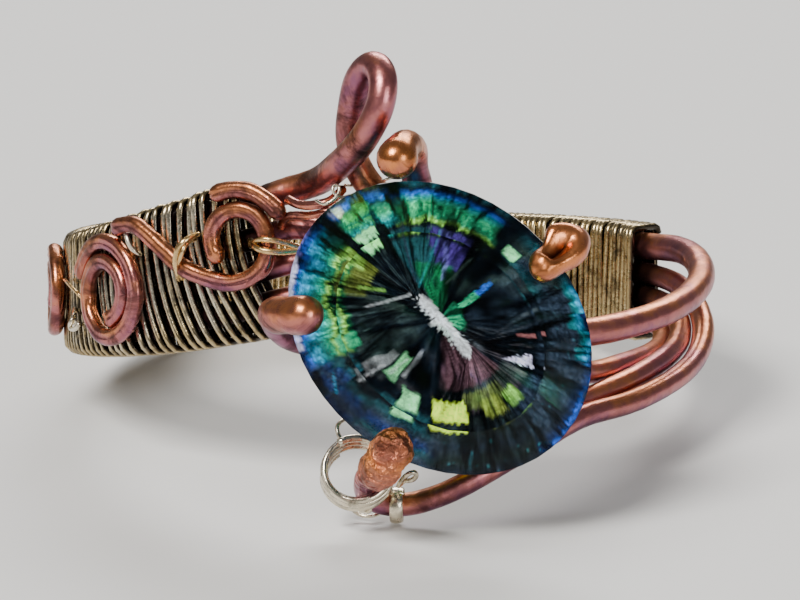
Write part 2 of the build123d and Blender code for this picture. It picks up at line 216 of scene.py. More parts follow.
# rows: angle, share of the bow, share of the fall
upperRows = np.array([
    [38, 0.60, 1.00], [47, 0.72, 0.93], [58, 0.84, 0.80], [69, 0.96, 0.61],
    [80, 1.00, 0.36], [90, 0.82, 0.08], [99, 0.45, -0.05],
])
upperBackRows = np.array([[4, 0, 0.58], [14, 0, 0.53], [26, 0.48, 0.42]])
# rows: angle, bow, fall, and the directions of the strands beside the middle one
lowerRows = np.array([
    [46, 1.00, 1.00, -36, 142], [56, 1.05, 0.85, -38, 160], [66, 1.03, 0.72, -34, 180],
    [75, 0.96, 0.60, -22, 198], [83, 0.84, 0.47, 10, 216], [91, 0.62, 0.33, 44, 236],
    [99, 0.36, 0.23, 66, 256],
])
middleStartRows = [[15, 1.07, 1.30], [25, 0.89, 1.27], [36, 0.71, 1.17]]
rightStartRows = [[29, 3.04, 0.33], [35, 1.79, 0.70], [40, 0.18, 0.75]]
# rows: side, out, up as shares of the tall loop's sizes
loopRows = np.array([
    [-0.85, 0.33, 0.585], [-0.44, 0.71, 0.655], [-0.07, 0.92, 0.76], [0.13, 1.00, 0.85],
    [0.17, 0.92, 0.945], [-0.03, 0.62, 1.00], [-0.37, 0.33, 0.945], [-0.53, 0.21, 0.81],
    [-0.57, 0.12, 0.67], [-0.33, 0.00, 0.55], [0.20, 0.04, 0.44],
])
# rows: angle, reach, drop of the lowest strand under the stone
underRows = np.array([
    [2.5, 1.000, 1.000], [7.5, 1.004, 0.970], [13, 1.017, 0.887],
    [20, 1.017, 0.757], [28, 0.983, 0.640], [37, 0.930, 0.548],
])
# rows: reach, drop where the lowest strand bends from its prong
lowBendRows = np.array([[1.07, 0.845], [0.99, 0.95]])
# rows: angle, how far past the core in wire diameters, where a strand leaves the left arm
leftEndRows = np.array([[351, 0.14], [354, 1.11]])
# rows: turn, share of the stone's depth, room in wire radii
behindRows = {
    "frame": [[-118, 0.62, 1.88], [-112, 0.86, 2.34]],
    "top": [[128, 0.60, 1.00]],
    "middle": [[-66, 0.50, 1.00]],
    "right": [[75, 0.40, 1.42], [67, 0.75, 1.83]],
}
# rows: turn, how far out in wire diameters, rise in stone depths
rimRows = {
    "left": [[-129, 0.50, -0.43]],
    "top": [[136, 0.69, -0.343], [138, 1.06, -0.100], [140, 1.03, 0.086]],
    "low": [[-77, 1.39, -0.171]],
}
loop = {"height": 8.05, "depth": 2.4, "side": 1.5, "footOut": 0.67, "footAngle": 350, "footPast": 0.78}
prongs = {
    "left": {"turn": -139, "ball": 1.2, "reach": 0.5, "spare": 0.0},
    "right": {"turn": 77, "ball": 1.0, "reach": 0.38, "spare": 0.35},
    "low": {"turn": -75, "ball": 1.26, "reach": 0.3, "spare": 0.0, "blob": 1.2},
    "top": {"turn": 141, "ball": 1.26, "out": 0.8},
}


# angle, base + upperBow * share, top of the core - upperFall * share
def upperRoute(rows, base, top):
    radius = base + strands["upperBow"] * rows[:, 1]
    return onShank(rows[:, 0], radius, top - strands["upperFall"] * rows[:, 2])


# angle, coreR + lowerBow * share, -lowerFall * share, moved by the pitch towards the strand's own side
def lowerRoute(rows, column=None):
    rows = np.array(rows)
    out = up = 0
    if column is not None:
        side = np.radians(rows[:, column])
        out, up = strands["pitch"] * np.cos(side), strands["pitch"] * np.sin(side)
    radius = coreR + strands["lowerBow"] * rows[:, 1] + out
    return onShank(rows[:, 0], radius, up - strands["lowerFall"] * rows[:, 2])


# close behind the stone, at the rows' turns and depths
def behindRoute(key, wireR):
    return np.vstack([behindGem(turn, share, wireR * room) for turn, share, room in behindRows[key]])


# beside the girdle, at the rows' turns and rises
def besideRoute(key, wireD):
    turn, out, rise = np.array(rimRows[key], float).T
    return onRim(turn, wireD * out, gem["pavilion"] * rise)


# beside the girdle, over its edge and down on the crown's slope
def prongEnd(prong, radius):
    slope = gem["crown"] / ((gem["width"] - gem["tableWidth"]) / 2)
    lean = np.hypot(1, slope)
    out = radius + gem["gap"] + prong["spare"]
    edge = gem["girdle"] / 2
    tip = edge + slope * prong["reach"] + (prong["ball"] / 2 + gem["gap"]) * lean
    return np.vstack([
        onRim(prong["turn"], -prong["reach"], tip),
        onRim(prong["turn"], out, edge - slope * out + out * lean),
        onRim(prong["turn"], out, -radius - prong["spare"]),
    ])


# off the wrapped arm and in behind the stone
def leftEnd(place, turn):
    height = coreHeight(place, shank["armRise"], coreWidth + shank["armSpread"])
    return np.vstack([
        onShank(leftEndRows[:, 0], coreR + shank["sideD"] * leftEndRows[:, 1], height),
        behindGem(turn, 0.5, sideR),
    ])


# left prong, behind the stone, round the shank, the tall loop, top prong
def frameRoute():
    armTop = coreHeight(0, shank["armRise"], coreWidth + shank["armSpread"])
    return np.vstack([
        prongEnd(prongs["left"], frameR),
        besideRoute("left", shank["frameD"]),
        behindRoute("frame", frameR),
        upperRoute(upperBackRows, behindR, 0),
        upperRoute(upperRows, coreR, coreHeight(0, 0, coreWidth)),
        coreRoute(0),
        onShank(loop["footAngle"], coreR + frameR * loop["footPast"], armTop + frameR),
        inShank(loop["side"] * loopRows[:, 0], -coreR - loop["footOut"] - loop["depth"] * loopRows[:, 1],
                loop["height"] * loopRows[:, 2]),
        behindRoute("top", frameR),
        besideRoute("top", shank["frameD"]),
        onRim(prongs["top"]["turn"], shank["frameD"] * prongs["top"]["out"],
              prongs["top"]["ball"] / 2 + gem["gap"]),
    ])


# low prong, under the stone, round the shank, left end
def lowProngRoute():
    return np.vstack([
        prongEnd(prongs["low"], prongs["low"]["blob"] / 2)[:2],
        besideRoute("low", shank["sideD"]),
        inShank(-strands["lowSide"], -lowReach * lowBendRows[:, 0], -lowDrop * lowBendRows[:, 1]),
        onShank(underRows[:, 0], lowReach * underRows[:, 1], -lowDrop * underRows[:, 2]),
        lowerRoute(lowerRows, 3),
        coreRoute(1),
        leftEnd(1, 168),
    ])


# behind the stone, round the shank, left end
def middleRoute():
    return np.vstack([
        behindRoute("middle", sideR),
        lowerRoute(middleStartRows),
        lowerRoute(lowerRows),
        coreRoute(2),
        leftEnd(2, 191),
    ])


# right prong, behind the stone, round the shank, left end
def rightProngRoute():
    return np.vstack([
        prongEnd(prongs["right"], sideR),
        behindRoute("right", sideR),
        lowerRoute(rightStartRows),
        lowerRoute(lowerRows, 4),
        coreRoute(3),
        leftEnd(3, 212),
    ])


# uniform cubic B-spline: each span blends four points with the weights of its basis matrix
def smoothPath(points, perSpan=24):
    ends = np.vstack([2 * points[:1] - points[1:2], points, 2 * points[-1:] - points[-2:-1]])
    t = np.arange(perSpan) / perSpan
    basis = np.stack([(1 - t)**3, 3 * t**3 - 6 * t**2 + 4, -3 * t**3 + 3 * t**2 + 3 * t + 1, t**3]) / 6
    spans = np.stack([ends[i:len(ends) - 3 + i] for i in range(4)], 1)
    line = np.einsum("kt,nkd->ntd", basis, spans).reshape(-1, 3)
    return np.vstack([line, points[-1:]])


# places at these lengths along the path, straight on past its ends
def alongPath(line, places):
    lengths = walkedSoFar(np.linalg.norm(np.diff(line, axis=0), axis=1))
    spots = np.stack([np.interp(places, lengths, line[:, k]) for k in range(3)], -1)
    spots += np.outer(np.minimum(places, 0), unit(line[1] - line[0]))
    spots += np.outer(np.maximum(places - lengths[-1], 0), unit(line[-1] - line[-2]))
    return spots, lengths[-1]


# frames that don't twist: a guessed side vector, turned back by the summed twist between rows
def pathFrames(spots):
    ahead = unit(np.gradient(spots, axis=0))
    guess = np.where(np.abs(ahead[:, 2:]) < 0.9, np.array([[0.0, 0.0, 1.0]]), np.array([[1.0, 0.0, 0.0]]))
    side = unit(guess - ahead * np.sum(guess * ahead, 1, keepdims=True))
    over = np.cross(ahead, side)
    axis = np.cross(ahead[:-1], ahead[1:])
    cosine = np.sum(ahead[:-1] * ahead[1:], 1, keepdims=True)
    moved = side[:-1] * cosine + np.cross(axis, side[:-1])
    moved += axis * np.sum(axis * side[:-1], 1, keepdims=True) / (1 + cosine)
    twist = np.arctan2(np.sum(moved * over[1:], 1), np.sum(moved * side[1:], 1))
    total = walkedSoFar(twist)[:, None]
    return ahead, side * np.cos(total) + over * np.sin(total), over * np.cos(total) - side * np.sin(total)


# directions out of a wire = side cos a + over sin a
def spokes(side, over, sides, wide=1.0, thick=1.0):
    around = np.arange(sides)[None, :, None] / sides * 2 * np.pi
    return side[:, None] * wide * np.cos(around) + over[:, None] * thick * np.sin(around)


# smooth pseudo noise: a mean of sines with seeded directions and phases
def ripple(points, size, seed, waves=14):
    dice = np.random.default_rng(seed)
    directions = dice.normal(size=(3, waves))
    directions *= dice.uniform(0.6, 1.6, waves) * 2 * np.pi / size / np.linalg.norm(directions, axis=0)
    return np.sin(points @ directions + dice.uniform(0, 2 * np.pi, waves)).mean(-1) * 1.6


# row and column of each face in a grid that closes round its columns, and the faces' corners
def gridFaces(rows, cols):
    i, j = np.meshgrid(np.arange(rows - 1), np.arange(cols), indexing="ij")
    k = (j + 1) % cols
    quads = [i * cols + j, i * cols + k, (i + 1) * cols + k, (i + 1) * cols + j]
    return i, j, np.stack(quads, -1).reshape(-1, 4)


# an object in the scene for this mesh, lamp or camera
def putInScene(name, data):
    thing = bpy.data.objects.new(name, data)
    bpy.context.scene.collection.objects.link(thing)
    return thing


# a mesh from a grid of rows and columns that closes round the columns, with a pole at each end
def skinGrid(name, grid, material, rowUv, extra=None):
    rows, cols = grid.shape[:2]
    i, j, quads = gridFaces(rows, cols)
    uv = np.stack([
        np.stack([rowUv[i], rowUv[i], rowUv[i + 1], rowUv[i + 1]], -1),
        np.stack([j, j + 1, j + 1, j], -1) / cols,
    ], -1).reshape(-1, 2)
    c = np.arange(cols)
    d = (c + 1) % cols
    pole = np.full(cols, rows * cols)
    tris = np.vstack([
        np.stack([pole, d, c], -1),
        np.stack([pole + 1, (rows - 1) * cols + c, (rows - 1) * cols + d], -1),
    ])
    uvStart = np.stack([np.full((cols, 3), rowUv[0]), np.stack([c + 0.5, c + 1, c], -1) / cols], -1)
    uvEnd = np.stack([np.full((cols, 3), rowUv[-1]), np.stack([c + 0.5, c, c + 1], -1) / cols], -1)
    uv = np.vstack([uv, uvStart.reshape(-1, 2), uvEnd.reshape(-1, 2)])
    vertices = np.vstack([grid.reshape(-1, 3), grid[0].mean(0), grid[-1].mean(0)])
    mesh = bpy.data.meshes.new(name)
    mesh.from_pydata((vertices * metre).tolist(), [], quads.tolist() + tris.tolist())
    mesh.uv_layers.new(name="UVMap").data.foreach_set("uv", uv.astype(np.float32).ravel())
    mesh.polygons.foreach_set("use_smooth", np.ones(len(mesh.polygons), bool))
    for key, values in (extra or {}).items():
        mesh.attributes.new(key, "FLOAT", "POINT").data.foreach_set("value", np.asarray(values, np.float32))
    mesh.materials.append(material)
    mesh.update()
    piece = putInScene(name, mesh)
    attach(piece, "root")
    return piece


# radius of a wire that ends in a ball: the larger of the wire and sqrt(R^2 - s^2), rounded where they meet
def ballRadius(distance, wireR, ballR, blend=0.05):
    ball = np.sqrt(np.maximum(ballR**2 - distance**2, 0))
    both = 0.5 * (wireR + ball + np.sqrt((wireR - ball)**2 + blend**2))
    return np.where(distance < 0, ball, np.maximum(both, np.maximum(wireR, ball)))


wireSkin = {
    # the painted shade under the winding fades over these degrees, moved outwards by this share of them
    "edgeSoft": 4.0,
    "edgeShift": 0.7,
    "domeStart": 12,
    "dents": 0.012,
    "dentSize": 2.2,
    "fineDentSize": 0.8,
    "warmReach": 1.5,
    "domeRows": 9,
    "hollowFrom": 0.075,
    "hollowDepth": 0.10,
    "hollowMost": 0.85,
}


# painted shade: 1 where the winding hides the wire, falling to 0 just past its two ends
def underWinding(points, shadeEnd):
    away = points - shankOrigin
    turn = np.degrees(np.arctan2(away @ shankRight, -away @ shankBack)) % 360
    near = np.linalg.norm(np.cross(away, shankUp), axis=1) < wrapR
    soft = wireSkin["edgeSoft"]
    rightEdge = (turn - shank["rightEnd"] + shadeEnd) / (soft + shadeEnd / 2)
    leftEdge = (shank["leftEnd"] - turn) / soft
    return np.where(near, held(np.minimum(rightEdge, leftEdge) + wireSkin["edgeShift"]), 0)


# surface(s, a) = centre(s) + radius(s, a) * (side cos a + over sin a)
def bentWire(name, points, material, wireD, startBall=None, endBall=None, sides=22, step=0.13,
             shape=None, seed=1, warmStart=0.0, warmEnd=0.0, shadeEnd=0.0):
    line = smoothPath(points)
    wireR = wireD / 2
    startR, endR = (startBall or wireD) / 2, (endBall or wireD) / 2
    length = alongPath(line, np.zeros(1))[1]
    dome = np.radians(np.linspace(wireSkin["domeStart"], 90, wireSkin["domeRows"]))
    middle = np.linspace(0, length, int(length / step))[1:-1]
    places = np.concatenate([-startR * np.cos(dome), middle, length + endR * np.cos(dome[::-1])])
    spots, _ = alongPath(line, places)
    outward = spokes(*pathFrames(spots)[1:], sides)
    back = length - places
    radius = np.maximum(ballRadius(places, wireR, startR), ballRadius(back, wireR, endR))
    radius = np.where(places < 0, np.sqrt(np.maximum(startR**2 - places**2, 0)), radius)
    radius = np.where(back < 0, np.sqrt(np.maximum(endR**2 - back**2, 0)), radius)
    grid = spots[:, None] + outward * radius[:, None, None]
    dents = ripple(grid, wireSkin["dentSize"], seed) + 0.5 * ripple(grid, wireSkin["fineDentSize"], seed + 7)
    grid += outward * (wireSkin["dents"] * dents)[..., None]
    recessShade = np.zeros(grid.shape[:2])
    if shape is not None:
        pressed = shape(grid, places, length, outward)
        # painted shade gathers where the surface is pressed in: darker in dents, grooves and dimples
        recessShade = (-wireSkin["hollowFrom"] - pressed) / wireSkin["hollowDepth"]
        recessShade = np.clip(recessShade, 0, wireSkin["hollowMost"])
        grid = grid + outward * pressed[..., None]
    warm = warmStart * bell(places, 0, wireSkin["warmReach"]) + warmEnd * bell(back, 0, wireSkin["warmReach"])
    # painted shade: under the winding and in the pressed-in places
    paintedShade = np.maximum(underWinding(grid.reshape(-1, 3), shadeEnd), recessShade.reshape(-1))
    extra = {
        "warm": np.append(np.repeat(warm, sides), [warmStart, warmEnd]),
        # upness carries the painted top light of the copper
        "upness": np.append((outward @ shankUp).reshape(-1), [0, 0]),
        "paintedShade": np.append(paintedShade, [0, 0]),
    }
    return skinGrid(name, grid, material, places, extra)


# sockets are linked, plain values are set
def fillInputs(tree, node, inputs):
    for key, value in inputs.items():
        if isinstance(value, bpy.types.NodeSocket):
            tree.links.new(value, node.inputs[key])
        else:
            node.inputs[key].default_value = value


# a shader node of this kind, with its settings and inputs
def addNode(tree, kind, inputs=None, **settings):
    node = tree.nodes.new("ShaderNode" + kind)
    for key, value in settings.items():
        setattr(node, key, value)
    fillInputs(tree, node, inputs or {})
    return node


# a material with one shader on its output, and the place on the object for its patterns
def newMaterial(name):
    material = bpy.data.materials.new(name)
    material.use_nodes = True
    tree = material.node_tree
    tree.nodes.clear()
    output = addNode(tree, "OutputMaterial")
    shader = addNode(tree, "BsdfPrincipled")
    tree.links.new(shader.outputs[0], output.inputs[0])
    return material, tree, shader, addNode(tree, "TexCoord").outputs["Object"]


# colours that run into one another between their places
def addRamp(tree, source, stops):
    ramp = addNode(tree, "ValToRGB", {"Fac": source})
    while len(ramp.color_ramp.elements) < len(stops):
        ramp.color_ramp.elements.new(0.5)
    for element, (place, color) in zip(ramp.color_ramp.elements, stops):
        element.position, element.color = place, (*color, 1)
    ramp.color_ramp.interpolation = "EASE"
    return ramp.outputs["Color"]


# black below the first place, white above the second
def blackToWhite(tree, source, low, high):
    return addRamp(tree, source, [(low, (0, 0, 0)), (high, (1, 1, 1))])


# two inputs, sockets or numbers
def addMath(tree, operation, a, b, clamp=False):
    return addNode(tree, "Math", {0: a, 1: b}, operation=operation, use_clamp=clamp).outputs[0]


# sum of value * weight + shift
def weighedSum(tree, *terms):
    total = None
    for term in terms:
        part = addNode(tree, "Math", dict(enumerate(term)), operation="MULTIPLY_ADD").outputs[0]
        total = part if total is None else addMath(tree, "ADD", total, part)
    return total


# from low to high becomes toLow to toHigh, held at both ends
def mapTo(tree, value, low, high, toLow, toHigh):
    return addNode(tree, "MapRange", {
        "Value": value, "From Min": low, "From Max": high, "To Min": toLow, "To Max": toHigh,
    }).outputs[0]


# an attribute of the mesh
def meshValue(tree, name, output="Fac"):
    return addNode(tree, "Attribute", attribute_name=name).outputs[output]


# bare metal with small bumps
def finishMetal(tree, shader, color, rough, height, strength, distance):
    bumps = addNode(tree, "Bump", {"Height": height, "Strength": strength, "Distance": distance})
    fillInputs(tree, shader, {
        "Base Color": color, "Metallic": 1, "Roughness": rough, "Normal": bumps.outputs[0],
    })


# a pattern of soft blotches, between 0 and 1
def addNoise(tree, vector, scale, detail=3.0, rough=0.55, distortion=0.0):
    return addNode(tree, "TexNoise", {
        "Vector": vector, "Scale": scale, "Detail": detail, "Roughness": rough, "Distortion": distortion,
    }).outputs["Fac"]


# the second colour over the first, as strongly as the factor says
def mixColor(tree, factor, a, b, blend="MIX"):
    node = addNode(tree, "Mix", data_type="RGBA", blend_type=blend)
    for socket, value in ((node.inputs[0], factor), (node.inputs[6], a), (node.inputs[7], b)):
        if isinstance(value, bpy.types.NodeSocket):
            tree.links.new(value, socket)
        else:
            socket.default_value = (*value, 1) if isinstance(value, tuple) and len(value) == 3 else value
    return node.outputs[2]


copperLook = {
    "gold": (0.74, 0.25, 0.058),
    "bright": (0.66, 0.24, 0.105),
    "pink": (0.47, 0.165, 0.160),
    "mauve": (0.27, 0.100, 0.165),
    "dark": (0.020, 0.009, 0.008),
    "clouds": 380,
    "fine": 2600,
    "oxideAndShade": 560,
    "pits": 5200,
    "lumps": 3600,
    "fadeAcrossX": (-0.001, 0.007),
    "rightShare": 0.35,
}


# copper: bright on top and mauve below as painted top light, orange at the melted tips, dark oxide in
# patches, less to the right, and painted shade under the winding and in pressed-in places
def copperMaterial(name, orange=0.0, darkness=0.85, roughness=(0.28, 0.50), bump=0.12, grain=0.0):
    look = copperLook
    material, tree, shader, place = newMaterial(name)
    upness, paintedShade, warm = [meshValue(tree, key) for key in ("upness", "paintedShade", "warm")]
    clouds = addNoise(tree, place, look["clouds"], 4, 0.6, 0.5)
    fine = addNoise(tree, place, look["fine"], 4, 0.62)
    # painted top light: upness lifts the tone where the wire faces up and drops it to mauve below
    shade = weighedSum(tree, (upness, 0.36, 0.39 + orange), (clouds, 1.7, -0.85), (fine, 0.5, -0.25),
                       (warm, 0.35, 0))
    color = addRamp(tree, shade, [(0.08, look["mauve"]), (0.46, look["pink"]), (0.86, look["bright"])])
    golden = addMath(tree, "MULTIPLY", warm, addMath(tree, "MULTIPLY", clouds, 1.3), True)
    color = mixColor(tree, golden, color, look["gold"])
    oxideAndShade = blackToWhite(tree, addNoise(tree, place, look["oxideAndShade"], 5, 0.7, 0.9), 0.44, 0.66)
    side = addNode(tree, "SeparateXYZ", {0: place}).outputs["X"]
    # the oxide patches are strongest on the left and fall to a share of that on the right
    sideFade = mapTo(tree, side, *look["fadeAcrossX"], darkness, darkness * look["rightShare"])
    oxideAndShade = addMath(tree, "MULTIPLY", oxideAndShade, sideFade)
    # painted shade under the winding and in pressed-in places is laid over the oxide patches
    oxideAndShade = addMath(tree, "MAXIMUM", oxideAndShade, addMath(tree, "MULTIPLY", paintedShade, 0.95))
    color = mixColor(tree, oxideAndShade, color, look["dark"])
    rough = mapTo(tree, weighedSum(tree, (fine, 0.7, 0), (oxideAndShade, 0.5, 0)), 0.25, 0.8, *roughness)
    height = [(clouds, 1.2, 0), (addNoise(tree, place, look["pits"], 3, 0.6), 0.25 + grain, 0)]
    if grain:
        lumps = addNode(tree, "TexVoronoi", {"Vector": place, "Scale": look["lumps"]}).outputs["Distance"]
        height.append((lumps, grain * 1.4, 0))
    else:
        rough = weighedSum(tree, (rough, 1, 0), (warm, -0.10, 0))
    finishMetal(tree, shader, color, rough, weighedSum(tree, *height), bump, 0.0004)
    return material


silverLook = {
    "bright": (0.80, 0.73, 0.58),
    "straw": (0.55, 0.40, 0.17),
    "dark": (0.022, 0.016, 0.012),
}
brassLook = {
    "bright": (0.88, 0.62, 0.30),
    "straw": (0.70, 0.40, 0.12),
    "dark": (0.05, 0.025, 0.010),
}
silverGrain = {"clouds": 330, "fine": 3000, "black": 900, "depth": (-0.003, 0.007), "roughness": (0.16, 0.36)}


# fine silver wire: straw tarnish in clouds and towards the back, dark where it has blackened, and painted
# shade where the wire faces into the band
def silverMaterial(name, look, straw=0.5, darkness=0.5, backStraw=0.0, creviceShade=0.0):
    material, tree, shader, place = newMaterial(name)
    clouds = addNoise(tree, place, silverGrain["clouds"], 3, 0.55, 0.5)
    fine = addNoise(tree, place, silverGrain["fine"], 3, 0.6)
    tint = [(clouds, 1, 0), (fine, 0.4, -0.2)]
    if backStraw:
        depth = addNode(tree, "SeparateXYZ", {0: place}).outputs["Y"]
        tint.append((mapTo(tree, depth, *silverGrain["depth"], 0, backStraw), 1, 0))
        tint.append((meshValue(tree, "rim"), 0.22, 0))
    tint = blackToWhite(tree, weighedSum(tree, *tint), 0.35, 0.68)
    color = mixColor(tree, addMath(tree, "MULTIPLY", tint, straw), look["bright"], look["straw"])
    black = blackToWhite(tree, addNoise(tree, place, silverGrain["black"], 4, 0.7, 0.6), 0.46, 0.70)
    color = mixColor(tree, addMath(tree, "MULTIPLY", black, darkness), color, look["dark"])
    if creviceShade:
        # painted shade on the sides of each turn that face into the band and the gaps between turns
        shadeInCrevices = mapTo(tree, meshValue(tree, "crest"), 0.40, 0.97, creviceShade, 0)
        color = mixColor(tree, shadeInCrevices, color, look["dark"])
    rough = mapTo(tree, fine, 0.3, 0.7, *silverGrain["roughness"])
    finishMetal(tree, shader, color, rough, fine, 0.1, 0.0002)
    return material


copper = copperMaterial("wornCopperWithPaintedLight")
scrollCopper = copperMaterial("scrollCopper", orange=0.27, darkness=0.8, roughness=(0.20, 0.42))
moltenCopper = copperMaterial("moltenCopper", orange=0.02, darkness=0.75, bump=0.9, grain=0.9,
                              roughness=(0.30, 0.52))
silver = silverMaterial("windingSilver", silverLook, straw=0.85, darkness=0.8, backStraw=0.42, creviceShade=0.96)
silverBright = silverMaterial("brightSilver", silverLook, straw=0.2, darkness=0.6)
goldSilver = silverMaterial("goldWire", brassLook, straw=0.8, darkness=0.4)
print("metals ready")


# a melted tip without a neck: the ball's size carried on over a reach, then smoothly down to the wire
def fusedTip(places, wireR, tip, reach, fade=0.6):
    share = 1 - held((places - reach) / fade)
    full = (tip / 2 - wireR) * softStep(share)
    ball = np.sqrt(np.maximum((tip / 2)**2 - places**2, 0))
    return np.where(places > 0, np.maximum(full - np.maximum(ball - wireR, 0), 0), 0)[:, None]


lowTip = {
    "reach": 1.35,
    "fade": 1.9,
    "lumps": [(0.10, 0.85, 77), (0.055, 0.36, 78), (0.03, 0.2, 79)],  # height, size, seed
    "sides": 36,
    "meltedRows": 30,
}


# low prong: fused, lumpy and granular, its lumps under bell(s)
def lowForm(grid, places, length, outward):
    lumps = sum(height * ripple(grid, size, seed) for height, size, seed in lowTip["lumps"])
    tip = fusedTip(places, sideR, prongs["low"]["ball"], lowTip["reach"])
    return tip + lumps * bell(places, 0, lowTip["fade"], 4)[:, None]


ear = {
    "grow": 1.04,
    "reach": 1.5,
    "fade": 0.9,
    "away": gemOut * 0.6 + shankRight * 0.8,
    "least": 0.25,
    # height, place and reach along the wire, direction, sharpness
    "lobes": [
        (0.22, 0.9, 0.6, shankRight - shankUp * 0.3, 1.0),
        (0.42, 1.0, 0.5, shankUp * 0.85 - shankRight * 0.5 + gemOut * 0.2, 1.5),
    ],
    "dimple": {"depth": 0.9, "place": 0.62, "reach": 0.40, "width": 0.20},
    "dimpleFacing": gemOut * 0.8 + shankUp * 0.6,
    "lumps": (0.035, 0.6, 93),
    "lumpReach": 1.8,
}


# right prong: an ear that swells away from the stone, two lobes that look their own way, less a dimple
def rightForm(grid, places, length, outward):
    near = np.clip(places, 0, None)
    tip = fusedTip(places, sideR, prongs["right"]["ball"] * ear["grow"], ear["reach"], ear["fade"])
    form = tip * (ear["least"] + (1 - ear["least"]) * held(outward @ ear["away"]))
    for height, place, reach, direction, sharpness in ear["lobes"]:
        form = form + height * bell(near, place, reach)[:, None] * held(outward @ direction)**sharpness
    dimple = ear["dimple"]
    facing = bell(1 - outward @ ear["dimpleFacing"], 0, dimple["width"])
    form = form - dimple["depth"] * bell(near, dimple["place"], dimple["reach"])[:, None] * facing
    height, size, seed = ear["lumps"]
    return form + height * ripple(grid, size, seed) * bell(near, 0, ear["lumpReach"])[:, None]


frameTips = {
    "footBack": 19.3,
    "footReach": 1.3,
    "leftGrow": 0.97,
    "leftReach": 1.3,
    "topGrow": 1.02,
    "topReach": 1.5,
    "topFade": 0.9,
    "topAway": shankUp * 0.9 + shankRight * 0.5,
    "topLeast": 0.15,
    # height, size, seed
    "grains": (0.05, 0.42, 91),
    "lumps": (0.035, 0.8, 92),
    "lumpReach": 1.6,
}


# frame wire: rough and thinner at the loop's foot, fused tips at both ends, the top one swelling upwards
def frameForm(grid, places, length, outward):
    back, tips = length - places, frameTips
    foot = bell(back, tips["footBack"], tips["footReach"])[:, None]
    height, size, seed = tips["grains"]
    grains = height * (ripple(grid, size, seed) - 1) * foot
    height, size, seed = tips["lumps"]
    lumps = height * ripple(grid, size, seed) * bell(places, 0, tips["lumpReach"])[:, None]
    leftTip = fusedTip(places, frameR, prongs["left"]["ball"] * tips["leftGrow"], tips["leftReach"])
    topBall = prongs["top"]["ball"] * tips["topGrow"]
    topTip = fusedTip(back, frameR, topBall, tips["topReach"], tips["topFade"])
    least = tips["topLeast"]
    return grains + lumps + leftTip + topTip * (least + (1 - least) * held(outward @ tips["topAway"]))


frameWire = bentWire("frameWire", frameRoute(), copper, shank["frameD"], prongs["left"]["ball"],
                     prongs["top"]["ball"], shape=frameForm, seed=3, warmStart=0.28, warmEnd=1.0)
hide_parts("frame_wire")
lowWire = bentWire("lowProngWire", lowProngRoute(), copper, shank["sideD"], prongs["low"]["ball"],
                   shape=lowForm, sides=lowTip["sides"], seed=5, warmStart=0.9, shadeEnd=9.0)
lowWire.data.materials.append(moltenCopper)
tipFaces = np.zeros(len(lowWire.data.polygons), np.int32)
tipFaces[:lowTip["sides"] * lowTip["meltedRows"]] = 1  # the melted stretch takes the granular copper
tipFaces[-2 * lowTip["sides"]:-lowTip["sides"]] = 1  # and so does the fan over its end
lowWire.data.polygons.foreach_set("material_index", tipFaces)
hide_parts("low_prong_wire")
middleWire = bentWire("middleWire", middleRoute(), copper, shank["sideD"], seed=7, shadeEnd=9.0)
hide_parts("middle_wire")
rightWire = bentWire("rightProngWire", rightProngRoute(), copper, shank["sideD"], prongs["right"]["ball"],
                     shape=rightForm, sides=36, seed=9, warmStart=0.55, shadeEnd=9.0)
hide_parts("right_prong_wire")
print("shank wires bent")

scrolls = {
    "pathR": wrapR + 0.05 + shank["scrollD"] / 2,
    "step": 24,
    "flat": 0.055,
    "groove": 0.035,
    "grooveWidth": 0.30,
    "dents": (0.022, 1.1, 55),  # height, size, seed
    "near": {"r": 1.52, "angle": -23.7, "height": 0.60},
    "middle": {"r": 1.76, "angle": -53.7, "height": 0.106},
    "far": {"r": 1.28, "angle": -84.0, "height": 0.025},
}
# rows: angle, share of the wrap's width
nearLead = np.array([
    [-50.0, 0.657], [-46.2, 0.702], [-43.1, 0.639], [-39.6, 0.528], [-36.3, 0.417], [-32.7, 0.326],
])
# rows: turn round the scroll's own middle, share of its radius
nearCurl = [[237, 1.00], [270, 0.85], [310, 0.78], [360, 0.67], [540, 0.64], [572, 0.60]]
middleCurl = [
    [160, 1.00], [90, 0.97], [0, 0.90], [-90, 0.80], [-180, 0.67], [-270, 0.60], [-350, 0.55], [-430, 0.47],
]
farCurl = [[90, 1.00], [-90, 0.98], [-180, 0.94], [-230, 0.70], [-280, 0.52], [-400, 0.43]]
archCurl = [[116, 1.07], [36, 1.08]]


# flat spiral on the wrap: even steps of turn, radius between the rows in straight shares
def scrollCurl(rows, place):
    rows = np.array(rows, float)
    counts = np.ceil(np.abs(np.diff(rows[:, 0])) / scrolls["step"]).astype(int)
    parts = [np.linspace(rows[i], rows[i + 1], n, endpoint=False) for i, n in enumerate(counts)]
    turn, radius = np.vstack(parts + [rows[-1:]]).T
    radius, turn = radius * place["r"], np.radians(turn)
    along = np.degrees(radius * np.cos(turn) / scrolls["pathR"])
    height = wrapWidth * place["height"] + radius * np.sin(turn)
    return onShank(place["angle"] + along, scrolls["pathR"], height)


# hammered wire: the face that looks out is flattened and has a shallow groove along it
def hammered(grid, places, length, outward):
    across = grid - shankOrigin
    across = unit(across - (across @ shankUp)[..., None] * shankUp)
    face = held((outward * across).sum(-1))
    groove = scrolls["groove"] * bell(np.sqrt(1 - face**2), 0, scrolls["grooveWidth"]) * face
    height, size, seed = scrolls["dents"]
    return -scrolls["flat"] * face**3 - groove + height * ripple(grid, size, seed)


# one hammered wire of the scrolls
def scrollWire(name, points, seed, warmStart=0.0):
    return bentWire(name, points, scrollCopper, shank["scrollD"], sides=28, step=0.08, shape=hammered,
                    seed=seed, warmStart=warmStart)


